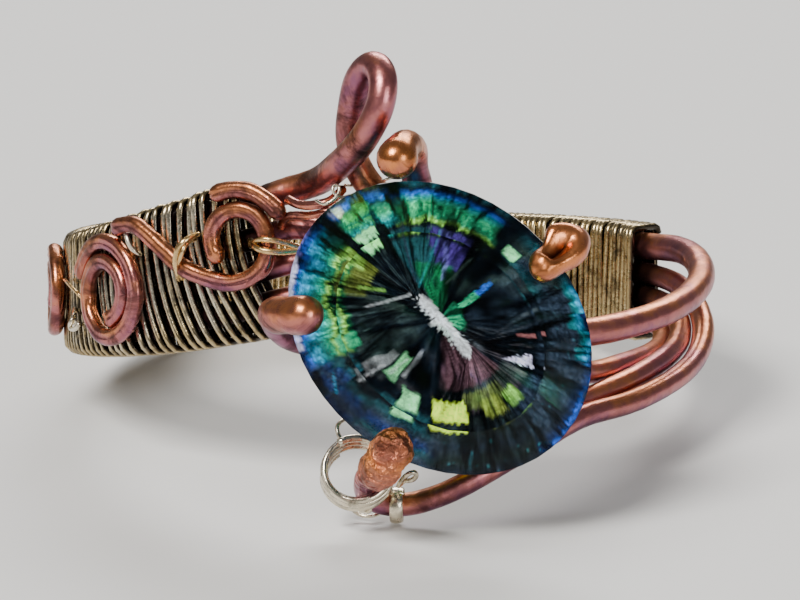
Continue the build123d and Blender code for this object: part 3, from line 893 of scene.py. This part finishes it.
nearPoints = np.vstack([
    onShank(nearLead[:, 0], scrolls["pathR"], wrapWidth * nearLead[:, 1]),
    scrollCurl(nearCurl, scrolls["near"]),
])
nearScroll = scrollWire("nearScroll", nearPoints, 21)
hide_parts("near_scroll")
middleScroll = scrollWire("middleScroll", scrollCurl(middleCurl, scrolls["middle"]), 23, 0.3)
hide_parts("middle_scroll")
farScroll = scrollWire("farScroll", scrollCurl(farCurl, scrolls["far"]), 25)
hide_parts("far_scroll")
archWire = scrollWire("archWire", scrollCurl(archCurl, scrolls["near"]), 27)
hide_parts("arch_wire")
print("scrolls curled")

winding = {
    "backTurns": 97,
    "armTurns": 34,
    "armPitch": 1.26,
    "perTurn": 52,
    "sides": 10,
    "corner": 0.36,
    "lean": 10.5,
    "startPast": 0.8,
    "topEnd": 334.5,
    "slant": 5.0,
    "slantReach": 25,
    "unevenness": 0.20,
    "steadyShort": 8,
    "tilt": 0.4,
    "innerCrest": 0.3,
    "seed": 41,
}


# a rounded rectangle walked at even speed: share of the way round to (x, y), both from -half to half
def boxWalk(share, halfX, halfY, corner):
    arc = np.linspace(0, np.pi / 2, 7)
    right, top = halfX - corner + corner * np.cos(arc), halfY - corner + corner * np.sin(arc)
    x = np.concatenate([right, -right[::-1], -right, right[::-1], right[:1]])
    y = np.concatenate([top, top[::-1], -top, -top[::-1], top[:1]])
    walked = walkedSoFar(np.hypot(np.diff(x), np.diff(y)))
    at = (share % 1) * walked[-1]
    return np.interp(at, walked, x), np.interp(at, walked, y)


# silver helix round the band: angle rises with the turn count, section walked once a turn
def silverWinding(values, material):
    dice = np.random.default_rng(values["seed"])
    turns, perTurn = values["backTurns"] + values["armTurns"], values["perTurn"]
    count = np.arange(turns * perTurn + 1) / perTurn
    wireR = shank["silverD"] / 2
    whole = np.arange(turns + 2)
    pitch = np.where(whole < values["backTurns"], 1.0, values["armPitch"])
    uneven = values["unevenness"] * np.where(whole < values["backTurns"] - values["steadyShort"], 0.5, 1.0)
    pitch = pitch * np.clip(1 + uneven * dice.normal(size=turns + 2), 0.6, 1.5)
    walked = walkedSoFar(pitch)[:turns + 2]
    share = np.interp(count, whole, walked) / walked[turns]
    start = shank["rightEnd"] + values["startPast"]
    angle = start + (values["topEnd"] - start) * share
    armShare = held((angle - shank["flatEnd"]) / (shank["leftEnd"] - shank["flatEnd"]))
    middle, width = armBand(armShare)
    halfX = frameR + shank["wallGap"] + wireR
    halfY = coreWidth / 2 + shank["wallGap"] + wireR
    x, y = boxWalk(count, halfX, halfY, values["corner"] - wireR)
    x = x * (1 + np.interp(count, whole, dice.uniform(-0.02, 0.035, turns + 2)))
    down = (1 - y / halfY) / 2  # 0 at the top of the band, 1 at its lower edge
    tilt = np.interp(count, whole, dice.normal(size=turns + 2)) * values["tilt"]
    angle = angle + tilt * y / halfY + values["lean"] * armShare**0.8 * down**2.4
    nearRight = held(1 - (angle - shank["rightEnd"]) / values["slantReach"])
    angle = angle - values["slant"] * nearRight * (1 - x / halfX) / 2
    height = middle + y / halfY * (width / 2 + shank["wallGap"] + wireR)
    line = onShank(angle, coreR + x, height)
    outward = spokes(*pathFrames(line)[1:], values["sides"])
    radial = onShank(angle, 1.0, 0.0) - shankOrigin
    wall = unit(radial * (x / halfX)[:, None]**5 + shankUp * (y / halfY)[:, None]**5)
    # crest: how far the wire faces out of the band, raised on the band's inner side; low crest gets painted
    # shade
    crest = (outward * wall[:, None]).sum(-1) + values["innerCrest"] * (x < 0)[:, None]
    rim = np.repeat(np.abs(wall @ shankUp), values["sides"])
    extra = {"crest": np.append(crest.reshape(-1), [0, 0]), "rim": np.append(rim, [0, 0])}
    return skinGrid("silverWinding", line[:, None] + outward * wireR, material, count, extra)


woundSilver = silverWinding(winding, silver)
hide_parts("wire_wrap")
print("silver wound:", winding["backTurns"] + winding["armTurns"], "turns")

lowSilver = {
    "coilD": 2.3,
    "coilTurns": 3.0,
    "coilPitch": 0.27,
    "coilFromTip": 3.05,
    "coilGap": 0.12,
    "strapFromTip": 4.85,
    "strapTurns": 1.12,
    "strapPitch": 0.06,
    "strapWidth": 0.42,
    "strapWall": 0.16,
    "strapGap": 0.06,
}
looseTurn = {
    "wire": 0.15,
    "radius": 1.08,
    "turns": 0.8,
    "pitch": 0.1,
    "start": 95,
    "squash": 0.97,
    "inward": 0.06,
    "towardTip": 0.34,
    "lean": 0.12,
}


# helix = centre + axis * pitch * t + r (side cos 2 pi t + over sin 2 pi t)
def helixPoints(centre, axis, side, radius, turns, pitch, start=0.0, perTurn=40, squash=1.0):
    side = unit(side - axis * (side @ axis))
    over = np.cross(axis, side)
    t = np.linspace(0, turns, int(turns * perTurn) + 1)
    swing = 2 * np.pi * t + np.radians(start)
    return (centre + np.outer((t - turns / 2) * pitch, axis) + radius * np.outer(np.cos(swing), side)
            + radius * squash * np.outer(np.sin(swing), over))


# round or flattened wire along points that are already close together
def fineWire(name, line, material, wireD, sides=10, thick=1.0, wide=1.0, reference=None):
    ahead, side, over = pathFrames(line)
    if reference is not None:
        side = unit(reference - ahead * (reference @ ahead.T)[:, None])
        over = np.cross(ahead, side)
    grid = line[:, None] + spokes(side, over, sides, wide, thick) * wireD / 2
    return skinGrid(name, grid, material, np.arange(len(line)) * 0.1)


# middle and direction of a line at this length
def lineAt(line, place, reach=0.05):
    near = alongPath(line, np.array([place - reach, place + reach]))[0]
    return near.mean(0), unit(near[1] - near[0])


lowLine = smoothPath(lowProngRoute())
coilAt, coilAlong = lineAt(lowLine, lowSilver["coilFromTip"])
coilSide = shankUp - shankRight * 0.6
coilSide = unit(coilSide - coilAlong * (coilSide @ coilAlong))
coilR = (lowSilver["coilD"] - shank["silverD"]) / 2
coilShift = lowSilver["coilD"] / 2 - shank["silverD"] - lowSilver["coilGap"] - sideR
coilLine = helixPoints(coilAt + coilSide * coilShift, coilAlong, coilSide, coilR, lowSilver["coilTurns"],
                       lowSilver["coilPitch"])
lowCoil = fineWire("lowCoil", coilLine, silverBright, shank["silverD"])
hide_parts("low_coil")
strapAt, strapAlong = lineAt(lowLine, lowSilver["strapFromTip"])
strapR = sideR + lowSilver["strapGap"] + lowSilver["strapWall"] / 2
strapLine = helixPoints(strapAt, strapAlong, shankUp, strapR, lowSilver["strapTurns"],
                        lowSilver["strapPitch"])
coilStrap = fineWire("coilStrap", strapLine, silverBright, 1.0, sides=14, wide=lowSilver["strapWidth"],
                     thick=lowSilver["strapWall"], reference=strapAlong)
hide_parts("coil_strap")
looseAt = coilAt + coilSide * (coilShift - looseTurn["inward"]) - coilAlong * looseTurn["towardTip"]
looseLine = helixPoints(looseAt, coilAlong + coilSide * looseTurn["lean"], coilSide, looseTurn["radius"],
                        looseTurn["turns"], looseTurn["pitch"], looseTurn["start"],
                        squash=looseTurn["squash"])
fineWire("looseCoil", looseLine, silverBright, looseTurn["wire"])
print("low coil and strap made")

# bare tie wires: metal, width, then rows of angle, radius past the scrolls' path, height
tieWires = {
    "leadTie": (goldSilver, 0.20, [
        [-32.3, -0.25, 2.52], [-32.1, 0.15, 2.46], [-32.7, 0.4, 2.33], [-33.6, 0.46, 2.15],
        [-34.1, 0.46, 1.87], [-34.9, 0.3, 1.53], [-35.8, -0.1, 1.16], [-36.5, -0.35, 1.05]
    ]),
    "leadTieShort": (goldSilver, 0.17, [
        [-33.1, -0.3, 2.36], [-32.8, 0.1, 2.33], [-32.8, 0.36, 2.18], [-33.1, 0.42, 1.91],
        [-34.2, 0.3, 1.62], [-36, 0, 1.41]
    ]),
    "stoneTieUpper": (goldSilver, 0.20, [
        [-22.1, -0.3, 2.22], [-20.5, 0.15, 2.38], [-18.9, 0.42, 2.49], [-17.1, 0.46, 2.48],
        [-15.5, 0.3, 2.41], [-13.2, 0.1, 2.26], [-11.4, 0, 2.12]
    ]),
    "stoneTieLower": (goldSilver, 0.22, [
        [-22.1, -0.3, 2.37], [-20.5, 0.2, 2.27], [-19.1, 0.44, 2.16], [-17.5, 0.46, 2.12],
        [-15.8, 0.3, 2.08], [-13.9, 0.1, 2.11], [-12.1, 0, 2.15]
    ]),
    "stoneTopTie": (scrollCopper, 0.26, [
        [-17.1, -0.6, 2.8], [-16.4, -0.35, 3.02], [-15.2, -0.15, 3.18], [-13.4, 0, 3.24], [-11.2, 0.1, 3.2],
        [-9, 0.2, 3.31], [-7.4, 0.2, 3.39]
    ]),
    "armTie": (silverBright, 0.18, [
        [-48.8, -0.1, 2.5], [-47.4, 0.02, 2.38], [-46.9, 0.06, 2.2], [-46.4, 0.02, 1.99],
        [-45.8, -0.08, 1.82], [-45.8, -0.3, 1.75]
    ]),
    "backTie": (goldSilver, 0.12, [
        [-73.1, -0.1, 0.6], [-68.3, 0.05, 0.57], [-64.2, 0.1, 0.4], [-62, 0.05, 0.23], [-63.5, -0.2, 0.02]
    ]),
    "footTie": (silverBright, 0.15, [
        [-70.5, -0.3, -0.31], [-66, 0, -0.53], [-67.2, 0.08, -0.76], [-67.4, 0.02, -0.95],
        [-63.6, 0.06, -0.85], [-62.2, 0.08, -0.63], [-65.3, 0, -0.62], [-71.6, -0.3, -0.98]
    ]),
    "coilEndCurl": (silverBright, 0.16, [
        [3.2, 1.37, -5.03], [3.7, 1.65, -4.78], [4.3, 1.95, -4.59], [5.1, 1.96, -4.5], [5.7, 1.88, -4.59],
        [5.5, 1.78, -4.74], [4.7, 1.68, -4.84], [4, 1.56, -4.81], [3.5, 1.37, -4.97]
    ]),
    "coilUnderEnd": (silverBright, 0.15, [
        [-3.2, 1.3, -5.41], [-2.5, 1.46, -5.64], [-1.6, 1.47, -5.84], [-0.7, 1.51, -5.75],
        [-1, 1.55, -5.59], [-1.9, 1.51, -5.63], [-2.3, 1.33, -5.81]
    ]),
    "coilUnderTurn": (silverBright, 0.12, [
        [-4.7, 0.38, -5.72], [-4.3, 0.35, -5.82], [-3, 0.35, -6.04], [-1.6, 0.44, -6.1],
        [-0.2, 0.44, -6.07], [1, 0.23, -5.96]
    ]),
    "coilBackEnd": (silverBright, 0.14, [
        [-4.3, 0.78, -3.86], [-5.4, 0.78, -3.68], [-6, 0.77, -3.46], [-6.2, 0.66, -3.26],
        [-5.6, 0.43, -3.1], [-4.6, 0.11, -3.07]
    ]),
    "stoneTopCurl": (silverBright, 0.11, [
        [-4.1, 0.4, 3.88], [-5.1, 0.72, 3.81], [-6, 0.94, 3.88], [-6.8, 0.93, 4.1], [-6.3, 0.81, 4.28],
        [-5.5, 0.8, 4.15], [-5.7, 0.92, 3.95], [-6.7, 1.07, 3.71], [-8.1, 1.01, 3.61], [-9.3, 0.73, 3.74]
    ]),
    "stoneTopRim": (silverBright, 0.10, [
        [-5.5, -0.41, 4.14], [-3.7, -0.23, 4.13], [-2, -0.15, 4.17], [0, -0.16, 4.25], [2, -0.27, 4.35],
        [3.1, -0.47, 4.41]
    ]),
    "footLump": (scrollCopper, 0.30, [
        [-14.8, -0.06, 3.7], [-12.5, 0.36, 3.55], [-10.4, 0.58, 3.56], [-8.7, 0.72, 3.62],
        [-7.3, 0.68, 3.68], [-6.3, 0.44, 3.85], [-5.6, 0.01, 4.04]
    ]),
}
for tieName, (tieMetal, tieD, rows) in tieWires.items():
    rows = np.array(rows)
    tieLine = smoothPath(onShank(rows[:, 0], scrolls["pathR"] + rows[:, 1], rows[:, 2]), 10)
    fineWire(tieName, tieLine, tieMetal, tieD)
print("tie wires laid:", len(tieWires))

stoneLook = {
    "seed": 61,
    "midCrown": 0.52,
    "crownBulge": 0.93,
    # tiers of the back: share of the depth, bulge, rows of faces
    "tiers": [(0.30, 0.015, 18), (0.46, 0.01, 12), (1.0, 0.0, 30)],
    "perEdge": 8,
    "glassBend": 1.18,
    # painted glow: the emission strength of the coat's colours
    "paintedGlow": 1.5,
    "wedges": 48,
    # noise over the back: knots round, knots outwards, seed
    "rays": (100, 6, 3),
    "fineRays": (280, 14, 4),
    "grain": (420, 70, 5),
    "waver": (40, 8, 6),
    "palette": {
        "night": (0.003, 0.006, 0.010), "slate": (0.017, 0.026, 0.042), "smoke": (0.018, 0.029, 0.026),
        "navy": (0.008, 0.020, 0.085), "blue": (0.02, 0.10, 0.52), "cyan": (0.03, 0.34, 0.60),
        "violet": (0.16, 0.14, 0.48), "frost": (0.52, 0.50, 0.68), "indigo": (0.040, 0.020, 0.145),
        "teal": (0.01, 0.24, 0.26), "dimTeal": (0.010, 0.050, 0.062), "green": (0.025, 0.34, 0.15),
        "deepGreen": (0.006, 0.10, 0.035), "lime": (0.30, 0.66, 0.10), "yellow": (0.66, 0.92, 0.06),
        "mint": (0.26, 0.78, 0.34), "olive": (0.16, 0.20, 0.03), "plum": (0.075, 0.035, 0.045),
        "pale": (0.44, 0.46, 0.47), "rose": (0.26, 0.09, 0.09),
    },
    # arcs of the outer ring: turn from, turn to, then radius and tint in pairs
    "arcs": [
        (-176, -118, 0.60, "night", 0.64, "deepGreen", 0.67, "lime", 0.70, "green", 0.79, "teal",
         0.87, "cyan", 0.92, "blue", 0.965, "navy", 0.985, "violet"),
        (-118, -92, 0.66, "night", 0.73, "dimTeal", 0.80, "navy", 0.90, "slate", 0.95, "navy", 0.99, "night"),
        (-92, -58, 0.66, "night", 0.72, "dimTeal", 0.80, "slate", 0.86, "navy", 0.92, "dimTeal",
         0.98, "slate"),
        (-58, -12, 0.66, "smoke", 0.80, "slate", 0.90, "smoke", 0.99, "slate"),
        (-12, 34, 0.66, "slate", 0.88, "slate", 0.95, "navy", 0.98, "blue", 1.0, "slate"),
        (34, 62, 0.66, "slate", 0.86, "slate", 0.91, "teal", 0.955, "cyan", 0.99, "navy"),
        (62, 90, 0.64, "dimTeal", 0.74, "slate", 0.84, "smoke", 0.93, "dimTeal", 0.98, "night"),
        (98, 148, 0.625, "night", 0.655, "lime", 0.685, "green", 0.80, "green", 0.85, "teal", 0.885, "blue",
         0.915, "navy", 0.93, "night", 0.98, "dimTeal"),
        (150, 174, 0.64, "night", 0.72, "teal", 0.80, "green", 0.88, "dimTeal", 0.93, "blue", 0.98, "smoke"),
    ],
    # patches of coat colour and painted flashes of reflected light: turn from, turn to, radius from, radius
    # to, tint, strength
    "flashes": [
        (132, 156, 0.24, 0.60, "dimTeal", 1.0), (108, 132, 0.40, 0.60, "indigo", 0.9),
        (36, 80, 0.20, 0.62, "slate", 0.35), (-150, -128, 0.16, 0.58, "smoke", 0.3),
        (-124, -96, 0.20, 0.62, "smoke", 0.5), (-36, 12, 0.46, 0.60, "smoke", 0.6),
        (112, 150, 0.00, 0.42, "deepGreen", 1.0), (118, 124, 0.30, 0.60, "violet", 0.5),
        (20, 96, 0.00, 0.17, "green", 0.8), (-52, 4, 0.08, 0.46, "plum", 0.9),
        (-82, -67, 0.555, 0.675, "mint", 1.0), (-59, -36, 0.545, 0.675, "yellow", 1.0),
        (-25, -12, 0.56, 0.68, "olive", 1.0), (-10, 2, 0.58, 0.68, "lime", 0.6),
        (-36, -6, 0.50, 0.60, "olive", 0.35),
        (-127, -119, 0.58, 0.67, "green", 0.9), (84, 91, 0.66, 0.76, "mint", 0.75),
        (162, 176, 0.60, 0.69, "mint", 0.8), (-180, -152, 0.50, 0.64, "olive", 0.65),
        (-178, -169, 0.58, 0.68, "lime", 0.55),
        (-160, -148, 0.24, 0.50, "smoke", 1.0), (-108, -98, 0.40, 0.64, "pale", 0.35),
        (-96, -88, 0.34, 0.56, "mint", 0.45), (-86, -80, 0.26, 0.50, "pale", 0.5),
        (-163, -146, 0.955, 1.0, "frost", 0.8), (-132, -124, 0.95, 1.0, "frost", 0.6),
        (168, 174, 0.88, 0.96, "frost", 0.5),
    ],
    # straight glints and lines between facets: both ends as x, y, half width, then tint and strength
    "glints": [
        (0.444, 0.104, 0.004, 0.580, 0.246, 0.046, "frost", 1.0),
        (0.403, 0.311, 0.012, 0.490, 0.411, 0.014, "rose", 0.8),
        (-0.416, -0.287, 0.010, -0.232, 0.005, 0.010, "pale", 0.5),
        (-0.144, -0.672, 0.012, -0.094, -0.509, 0.012, "pale", 0.35),
        (-0.035, -0.546, 0.014, 0.000, -0.360, 0.006, "pale", 0.4),
        (-0.536, -0.210, 0.014, -0.372, -0.090, 0.014, "lime", 0.3),
        (-0.563, 0.358, 0.008, -0.277, 0.109, 0.008, "slate", 1.0),
        (-0.363, 0.509, 0.006, -0.232, 0.088, 0.006, "teal", 0.45),
        (-0.118, 0.543, 0.008, -0.124, 0.252, 0.006, "smoke", 1.0),
        (0.032, 0.163, 0.016, 0.061, 0.353, 0.024, "green", 0.9),
        (0.056, 0.336, 0.022, 0.072, 0.498, 0.016, "blue", 0.8),
        (-0.30, -0.74, 0.006, -0.20, -0.86, 0.010, "cyan", 0.5),
        (0.14, -0.80, 0.006, 0.24, -0.93, 0.012, "blue", 0.6),
        (0.62, -0.52, 0.010, 0.70, -0.66, 0.006, "dimTeal", 1.0),
    ],
}


# point = share * outline(turn) at this rise; rows of corners joined by star, kite and half facets
def stoneRing(shareLong, shareWide, rise):
    turn = np.radians(np.arange(gem["facets"] * 2) * 180 / gem["facets"])
    x, y = gem["length"] / 2 * shareLong * np.cos(turn), gem["width"] / 2 * shareWide * np.sin(turn)
    return np.stack([x, y, np.full(len(turn), rise)], -1)


# value noise on a polar grid, smooth between its knots: round the keel and outwards
def polarNoise(turn, radius, around, outward, seed):
    knots = np.random.default_rng(seed).uniform(0, 1, (around, outward + 2))
    a, b = (turn + 180) / 360 * around, np.clip(radius, 0, 1.2) / 1.2 * outward
    i, j = np.floor(a).astype(int), np.floor(b).astype(int)
    u, v = softStep(a - i), softStep(b - j)
    i, k = i % around, (i + 1) % around
    return ((knots[i, j] * (1 - u) + knots[k, j] * u) * (1 - v)
            + (knots[i, j + 1] * (1 - u) + knots[k, j + 1] * u) * v)


# the tint laid over the colour as strongly as the mask says
def laidOver(color, tint, mask):
    return color + (tint - color) * mask[..., None]


# 1 between low and high, falling to 0 over a soft edge
def between(value, low, high, soft, shift=0.5):
    return held((value - low) / soft + shift) * held((high - value) / soft + shift)


# colours of the coat with painted light, worked out for every spot: arcs of the ring first, painted flashes
# and glints over them, broken up wedge by wedge, with painted rays of light and shade that run out from the
# keel
def coatTintsAndPaintedLight(values, x, y):
    tints = {name: np.array(tint) for name, tint in values["palette"].items()}
    wedges, dice = values["wedges"], np.random.default_rng(values["seed"])
    radius, turn = np.hypot(x, y), np.degrees(np.arctan2(y, x))
    wedge = np.floor((turn + 180) / 360 * wedges).astype(int) % wedges
    shift, light = dice.normal(size=wedges)[wedge], dice.uniform(0.3, 1.3, wedges)[wedge]
    keelTurn = np.degrees(np.arctan2(y, x - 0.8 * np.clip(x, -0.20, 0.30)))  # rays start along the keel
    rays = polarNoise(keelTurn, radius, *values["rays"])
    fineRays = polarNoise(keelTurn, radius, *values["fineRays"])
    grain = polarNoise(turn, radius, *values["grain"])
    ray = held(0.55 * rays + 0.45 * fineRays)
    broken = radius + 0.020 * shift + 0.07 * (ray - 0.5)
    wavy = turn + 5 * (polarNoise(turn, radius, *values["waver"]) - 0.5) + 2.5 * (fineRays - 0.5)
    color = np.tile(tints["night"], x.shape + (1,))
    for start, end, *stops in values["arcs"]:
        places, names = np.array(stops[0::2]), stops[1::2]
        ramp = np.stack([np.interp(broken, places, [tints[k][c] for k in names]) for c in range(3)], -1)
        color = laidOver(color, ramp, between(wavy, start, end, 6) * held((radius - places[0] + 0.02) / 0.02))
    # painted light and shade: each wedge, ray and grain spot made brighter or darker as if its facet caught
    # the light
    color = color * (np.clip((ray - 0.24) * 2.5, 0.05, 1.4) * light * (0.45 + 1.1 * grain**1.5))[..., None]
    # painted sparkle: bright teal glints near the rim
    paintedSparkle = held(grain - 0.86) * held((radius - 0.70) / 0.05) * held(fineRays * 2 - 0.7)
    color = color + tints["teal"] * paintedSparkle[..., None] * 3.0
    inside = 1 - held((radius - 0.60) / 0.04)
    # painted light streaks: pale smoke and plum added along the bright rays inside the table
    streak = held(ray - 0.56) * 5.2 * inside * held((radius - 0.10) / 0.2) * light
    warm = held(x * 1.4 - y * 0.6)[..., None]
    color = color + (tints["smoke"] * (1 - warm) + tints["plum"] * 0.6 * warm) * streak[..., None]
    edge = 0.03 * (fineRays - 0.5)
    for start, end, near, far, name, strength in values["flashes"]:
        mask = between(wavy, start, end, 1.2 if end - start < 25 else 4, 0.3)
        mask = mask * between(radius + edge, near, far, 0.02) * strength
        if name not in ("mint", "yellow", "frost"):  # the rays break all but the clear flashes
            mask = mask * np.clip((ray - 0.25) * 2.6, 0.12, 1)
        tint = tints[name] * (0.55 + 0.8 * fineRays * (0.6 + 0.8 * grain))[..., None]
        color = laidOver(color, tint, mask)
    for x0, y0, half0, x1, y1, half1, name, strength in values["glints"]:
        run = np.array([x1 - x0, y1 - y0])
        share = held(((x - x0) * run[0] + (y - y0) * run[1]) / (run @ run))
        off = np.hypot(x - x0 - share * run[0], y - y0 - share * run[1])
        half = (half0 + (half1 - half0) * share) * np.minimum(share * 8, 1) * (0.5 + grain)
        mask = held((half - off) / 0.012 + 0.3) * (off < 0.05) * (share > 0) * (share < 1) * strength
        color = laidOver(color, tints[name] * (0.7 + 0.6 * grain)[..., None], mask)
    # the keel: pale, ragged on its lower side, along the long way of the stone
    along, above = np.clip(np.abs(x - 0.05) - 0.20, 0, None), y + 0.16 * x
    ragged = np.clip(0.6 - above * 12, 0.25, 1) * (0.016 * (fineRays - 0.4) + 0.07 * (rays - 0.5))
    keel = held((0.040 - np.hypot(along, above * 0.81) + ragged) / 0.010)
    return laidOver(color, tints["pale"] * (0.75 + 0.4 * ray[..., None]), keel)


# rows of one ring, every straight edge cut into equal steps
def finerRing(ring, steps):
    ahead = np.roll(ring, -1, axis=0)
    share = np.arange(steps)[None, :, None] / steps
    return (ring[:, None] * (1 - share) + ahead[:, None] * share).reshape(-1, 3)


# crown of flat facets; the back is the same flat facets cut into a fine grid, to carry its colours and
# painted light
def facetedStone(values, crownMaterial, coatMaterial):
    n, fine = gem["facets"] * 2, values["perEdge"]
    cols, edge = n * fine, gem["girdle"] / 2
    tableLong, tableWide = gem["tableLength"] / gem["length"], gem["tableWidth"] / gem["width"]
    half, keelShare = values["midCrown"], gem["keel"] / gem["length"]
    grown = half * values["crownBulge"]
    table = stoneRing(tableLong, tableWide, edge + gem["crown"])
    crown = stoneRing(1 + (tableLong - 1) * grown, 1 + (tableWide - 1) * grown, edge + gem["crown"] * half)
    upper = finerRing(stoneRing(1, 1, -edge), fine)
    back = [upper[None]]
    for share, bulge, rows in values["tiers"]:
        ring = stoneRing(1 + (keelShare - 1) * share, 1 - share, -edge - gem["pavilion"] * (share + bulge))
        lower = np.roll(finerRing(ring[1::2], fine * 2), fine, axis=0)
        step = np.arange(1, rows + 1)[:, None, None] / rows
        back.append(upper[None] * (1 - step) + lower[None] * step)
        upper = lower
    back = np.concatenate(back).reshape(-1, 3)
    points = np.vstack([table, crown, finerRing(stoneRing(1, 1, edge), fine), back])
    crownAt, topAt, backAt = n, 2 * n, 2 * n + cols
    odd, even = np.arange(1, n, 2), np.arange(0, n, 2)
    last, following = lambda i: (i - 1) % n, lambda i: (i + 1) % n
    top = topAt + (odd * fine) % cols
    faces = [odd.tolist()]
    faces += np.stack([last(even), crownAt + even, following(even)], -1).tolist()
    faces += np.stack([odd, crownAt + last(odd), top, crownAt + following(odd)], -1).tolist()
    for shift in (-fine, 0):
        edgePoints = topAt + (even[:, None] * fine + shift + np.arange(fine + 1)) % cols
        faces += np.hstack([(crownAt + even)[:, None], edgePoints]).tolist()
    crownCount = len(faces)
    a, b = topAt + np.arange(cols), topAt + (np.arange(cols) + 1) % cols
    faces += np.stack([a, a + cols, b + cols, b], -1).tolist()
    quads = gridFaces(len(back) // cols, cols)[2]
    faces += (quads[:, [0, 3, 2, 1]] + backAt).tolist()
    mesh = bpy.data.meshes.new("facetedStone")
    mesh.from_pydata((onGem(*points.T) * metre).tolist(), [], faces)
    mesh.materials.append(crownMaterial)
    mesh.materials.append(coatMaterial)
    mesh.polygons.foreach_set("material_index", (np.arange(len(faces)) >= crownCount).astype(np.int32))
    tints = coatTintsAndPaintedLight(values, points[:, 0] / gem["length"] * 2, points[:, 1] / gem["width"] * 2)
    layer = mesh.attributes.new("tint", "FLOAT_COLOR", "POINT")
    layer.data.foreach_set("color", np.hstack([tints, np.ones((len(tints), 1))]).astype(np.float32).ravel())
    sculpt = bmesh.new()
    sculpt.from_mesh(mesh)
    bmesh.ops.remove_doubles(sculpt, verts=sculpt.verts, dist=1e-7)  # closes the keel
    bmesh.ops.recalc_face_normals(sculpt, faces=sculpt.faces)
    sculpt.to_mesh(mesh)
    sculpt.free()
    piece = putInScene("facetedStone", mesh)
    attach(piece, "root")
    return piece


# clear glass with a cold tint, dusty in places
def crownGlass(name, look):
    material, tree, shader, place = newMaterial(name)
    fine = addNoise(tree, place, 1500, 4, 0.6)
    fillInputs(tree, shader, {
        "Base Color": addRamp(tree, fine, [(0.3, (0.86, 0.95, 1.0)), (0.7, (0.97, 1.0, 1.0))]),
        "Roughness": mapTo(tree, fine, 0.55, 0.8, 0.0, 0.012),
        "Transmission Weight": 1,
        "IOR": look["glassBend"],
    })
    return material


# the coat on the stone's back: its own colours with their painted flashes and glints, and a painted glow
# (emission) that stands in for light coming back through the crown
def coatColorsAndGlow(name, look):
    material, tree, shader, place = newMaterial(name)
    grain = addNoise(tree, place, 2200, 4, 0.65)
    specks = addNoise(tree, place, 9000, 3, 0.7)
    # fine speckle that makes the painted colours and glow darker and brighter in small spots
    speckle = mapTo(tree, addMath(tree, "ADD", grain, specks), 0.72, 1.3, 0.55, 1.6)
    color = mixColor(tree, 1.0, meshValue(tree, "tint", "Color"), speckle, "MULTIPLY")
    fillInputs(tree, shader, {
        "Base Color": color, "Emission Color": color, "Emission Strength": look["paintedGlow"], "Metallic": 0.9,
        "Roughness": mapTo(tree, grain, 0, 1, 0.08, 0.22),
    })
    return material


stonePiece = facetedStone(stoneLook, crownGlass("stoneCrown", stoneLook), coatColorsAndGlow("stoneCoat", stoneLook))
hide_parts("stone")
print("stone cut:", len(stonePiece.data.polygons), "facets")

studio = {
    "distance": 160.0,
    "lift": 5.0,
    "aimRight": 0.73,
    "aimDown": 0.33,
    "lens": 216.9,
    "floorSize": 1.6,
    "floorColor": (0.74, 0.73, 0.71, 1),
    "floorRough": 0.7,
    "worldGrey": 0.19,
    "lampsAim": (0, 0, 0.004),
    # place, size, power, colour
    "lamps": {
        "keyLight": ((-0.16, -0.20, 0.30), (0.14, 0.14), 2.0, (1.0, 0.98, 0.95)),
        "fillLight": ((0.20, -0.28, 0.10), (0.16, 0.12), 0.5, (0.95, 0.97, 1.0)),
        "rimLight": ((0.05, 0.28, 0.22), (0.26, 0.08), 1.0, (1, 1, 1)),
    },
}
floorMesh = bpy.data.meshes.new("paleFloor")
s = studio["floorSize"]
floorMesh.from_pydata([(-s, -s, 0), (s, -s, 0), (s, s, 0), (-s, s, 0)], [], [(0, 1, 2, 3)])
paleFloor = putInScene("paleFloor", floorMesh)
floorMaterial, floorTree, floorShader, _ = newMaterial("paleFloorPaint")
fillInputs(floorTree, floorShader, {"Base Color": studio["floorColor"], "Roughness": studio["floorRough"]})
floorMesh.materials.append(floorMaterial)

for lampName, (place, size, power, color) in studio["lamps"].items():
    lamp = bpy.data.lights.new(lampName, "AREA")
    lamp.shape, lamp.energy, lamp.color = "RECTANGLE", power, color
    lamp.size, lamp.size_y = size
    holder = putInScene(lampName, lamp)
    holder.location = place
    holder.rotation_euler = (Vector(studio["lampsAim"]) - Vector(place)).to_track_quat("-Z", "Y").to_euler()

world = bpy.data.worlds.new("softRoom")
world.use_nodes = True
room = world.node_tree.nodes["Background"]
room.inputs[0].default_value = (studio["worldGrey"],) * 3 + (1,)
room.inputs[1].default_value = 1.0
bpy.context.scene.world = world

lift = np.radians(studio["lift"])
lookFrom = -shankBack * np.cos(lift) + shankUp * np.sin(lift)
cameraUp = shankUp * np.cos(lift) + shankBack * np.sin(lift)
aim = shankOrigin + shankRight * studio["aimRight"] - cameraUp * studio["aimDown"]
cameraData = bpy.data.cameras.new("photoCamera")
cameraData.lens = studio["lens"]
cameraData.clip_start = 0.01
camera = putInScene("photoCamera", cameraData)
camera.location = (aim + lookFrom * studio["distance"]) * metre
camera.rotation_euler = Vector(-lookFrom).to_track_quat("-Z", "Y").to_euler()
bpy.context.scene.camera = camera
print("studio set")
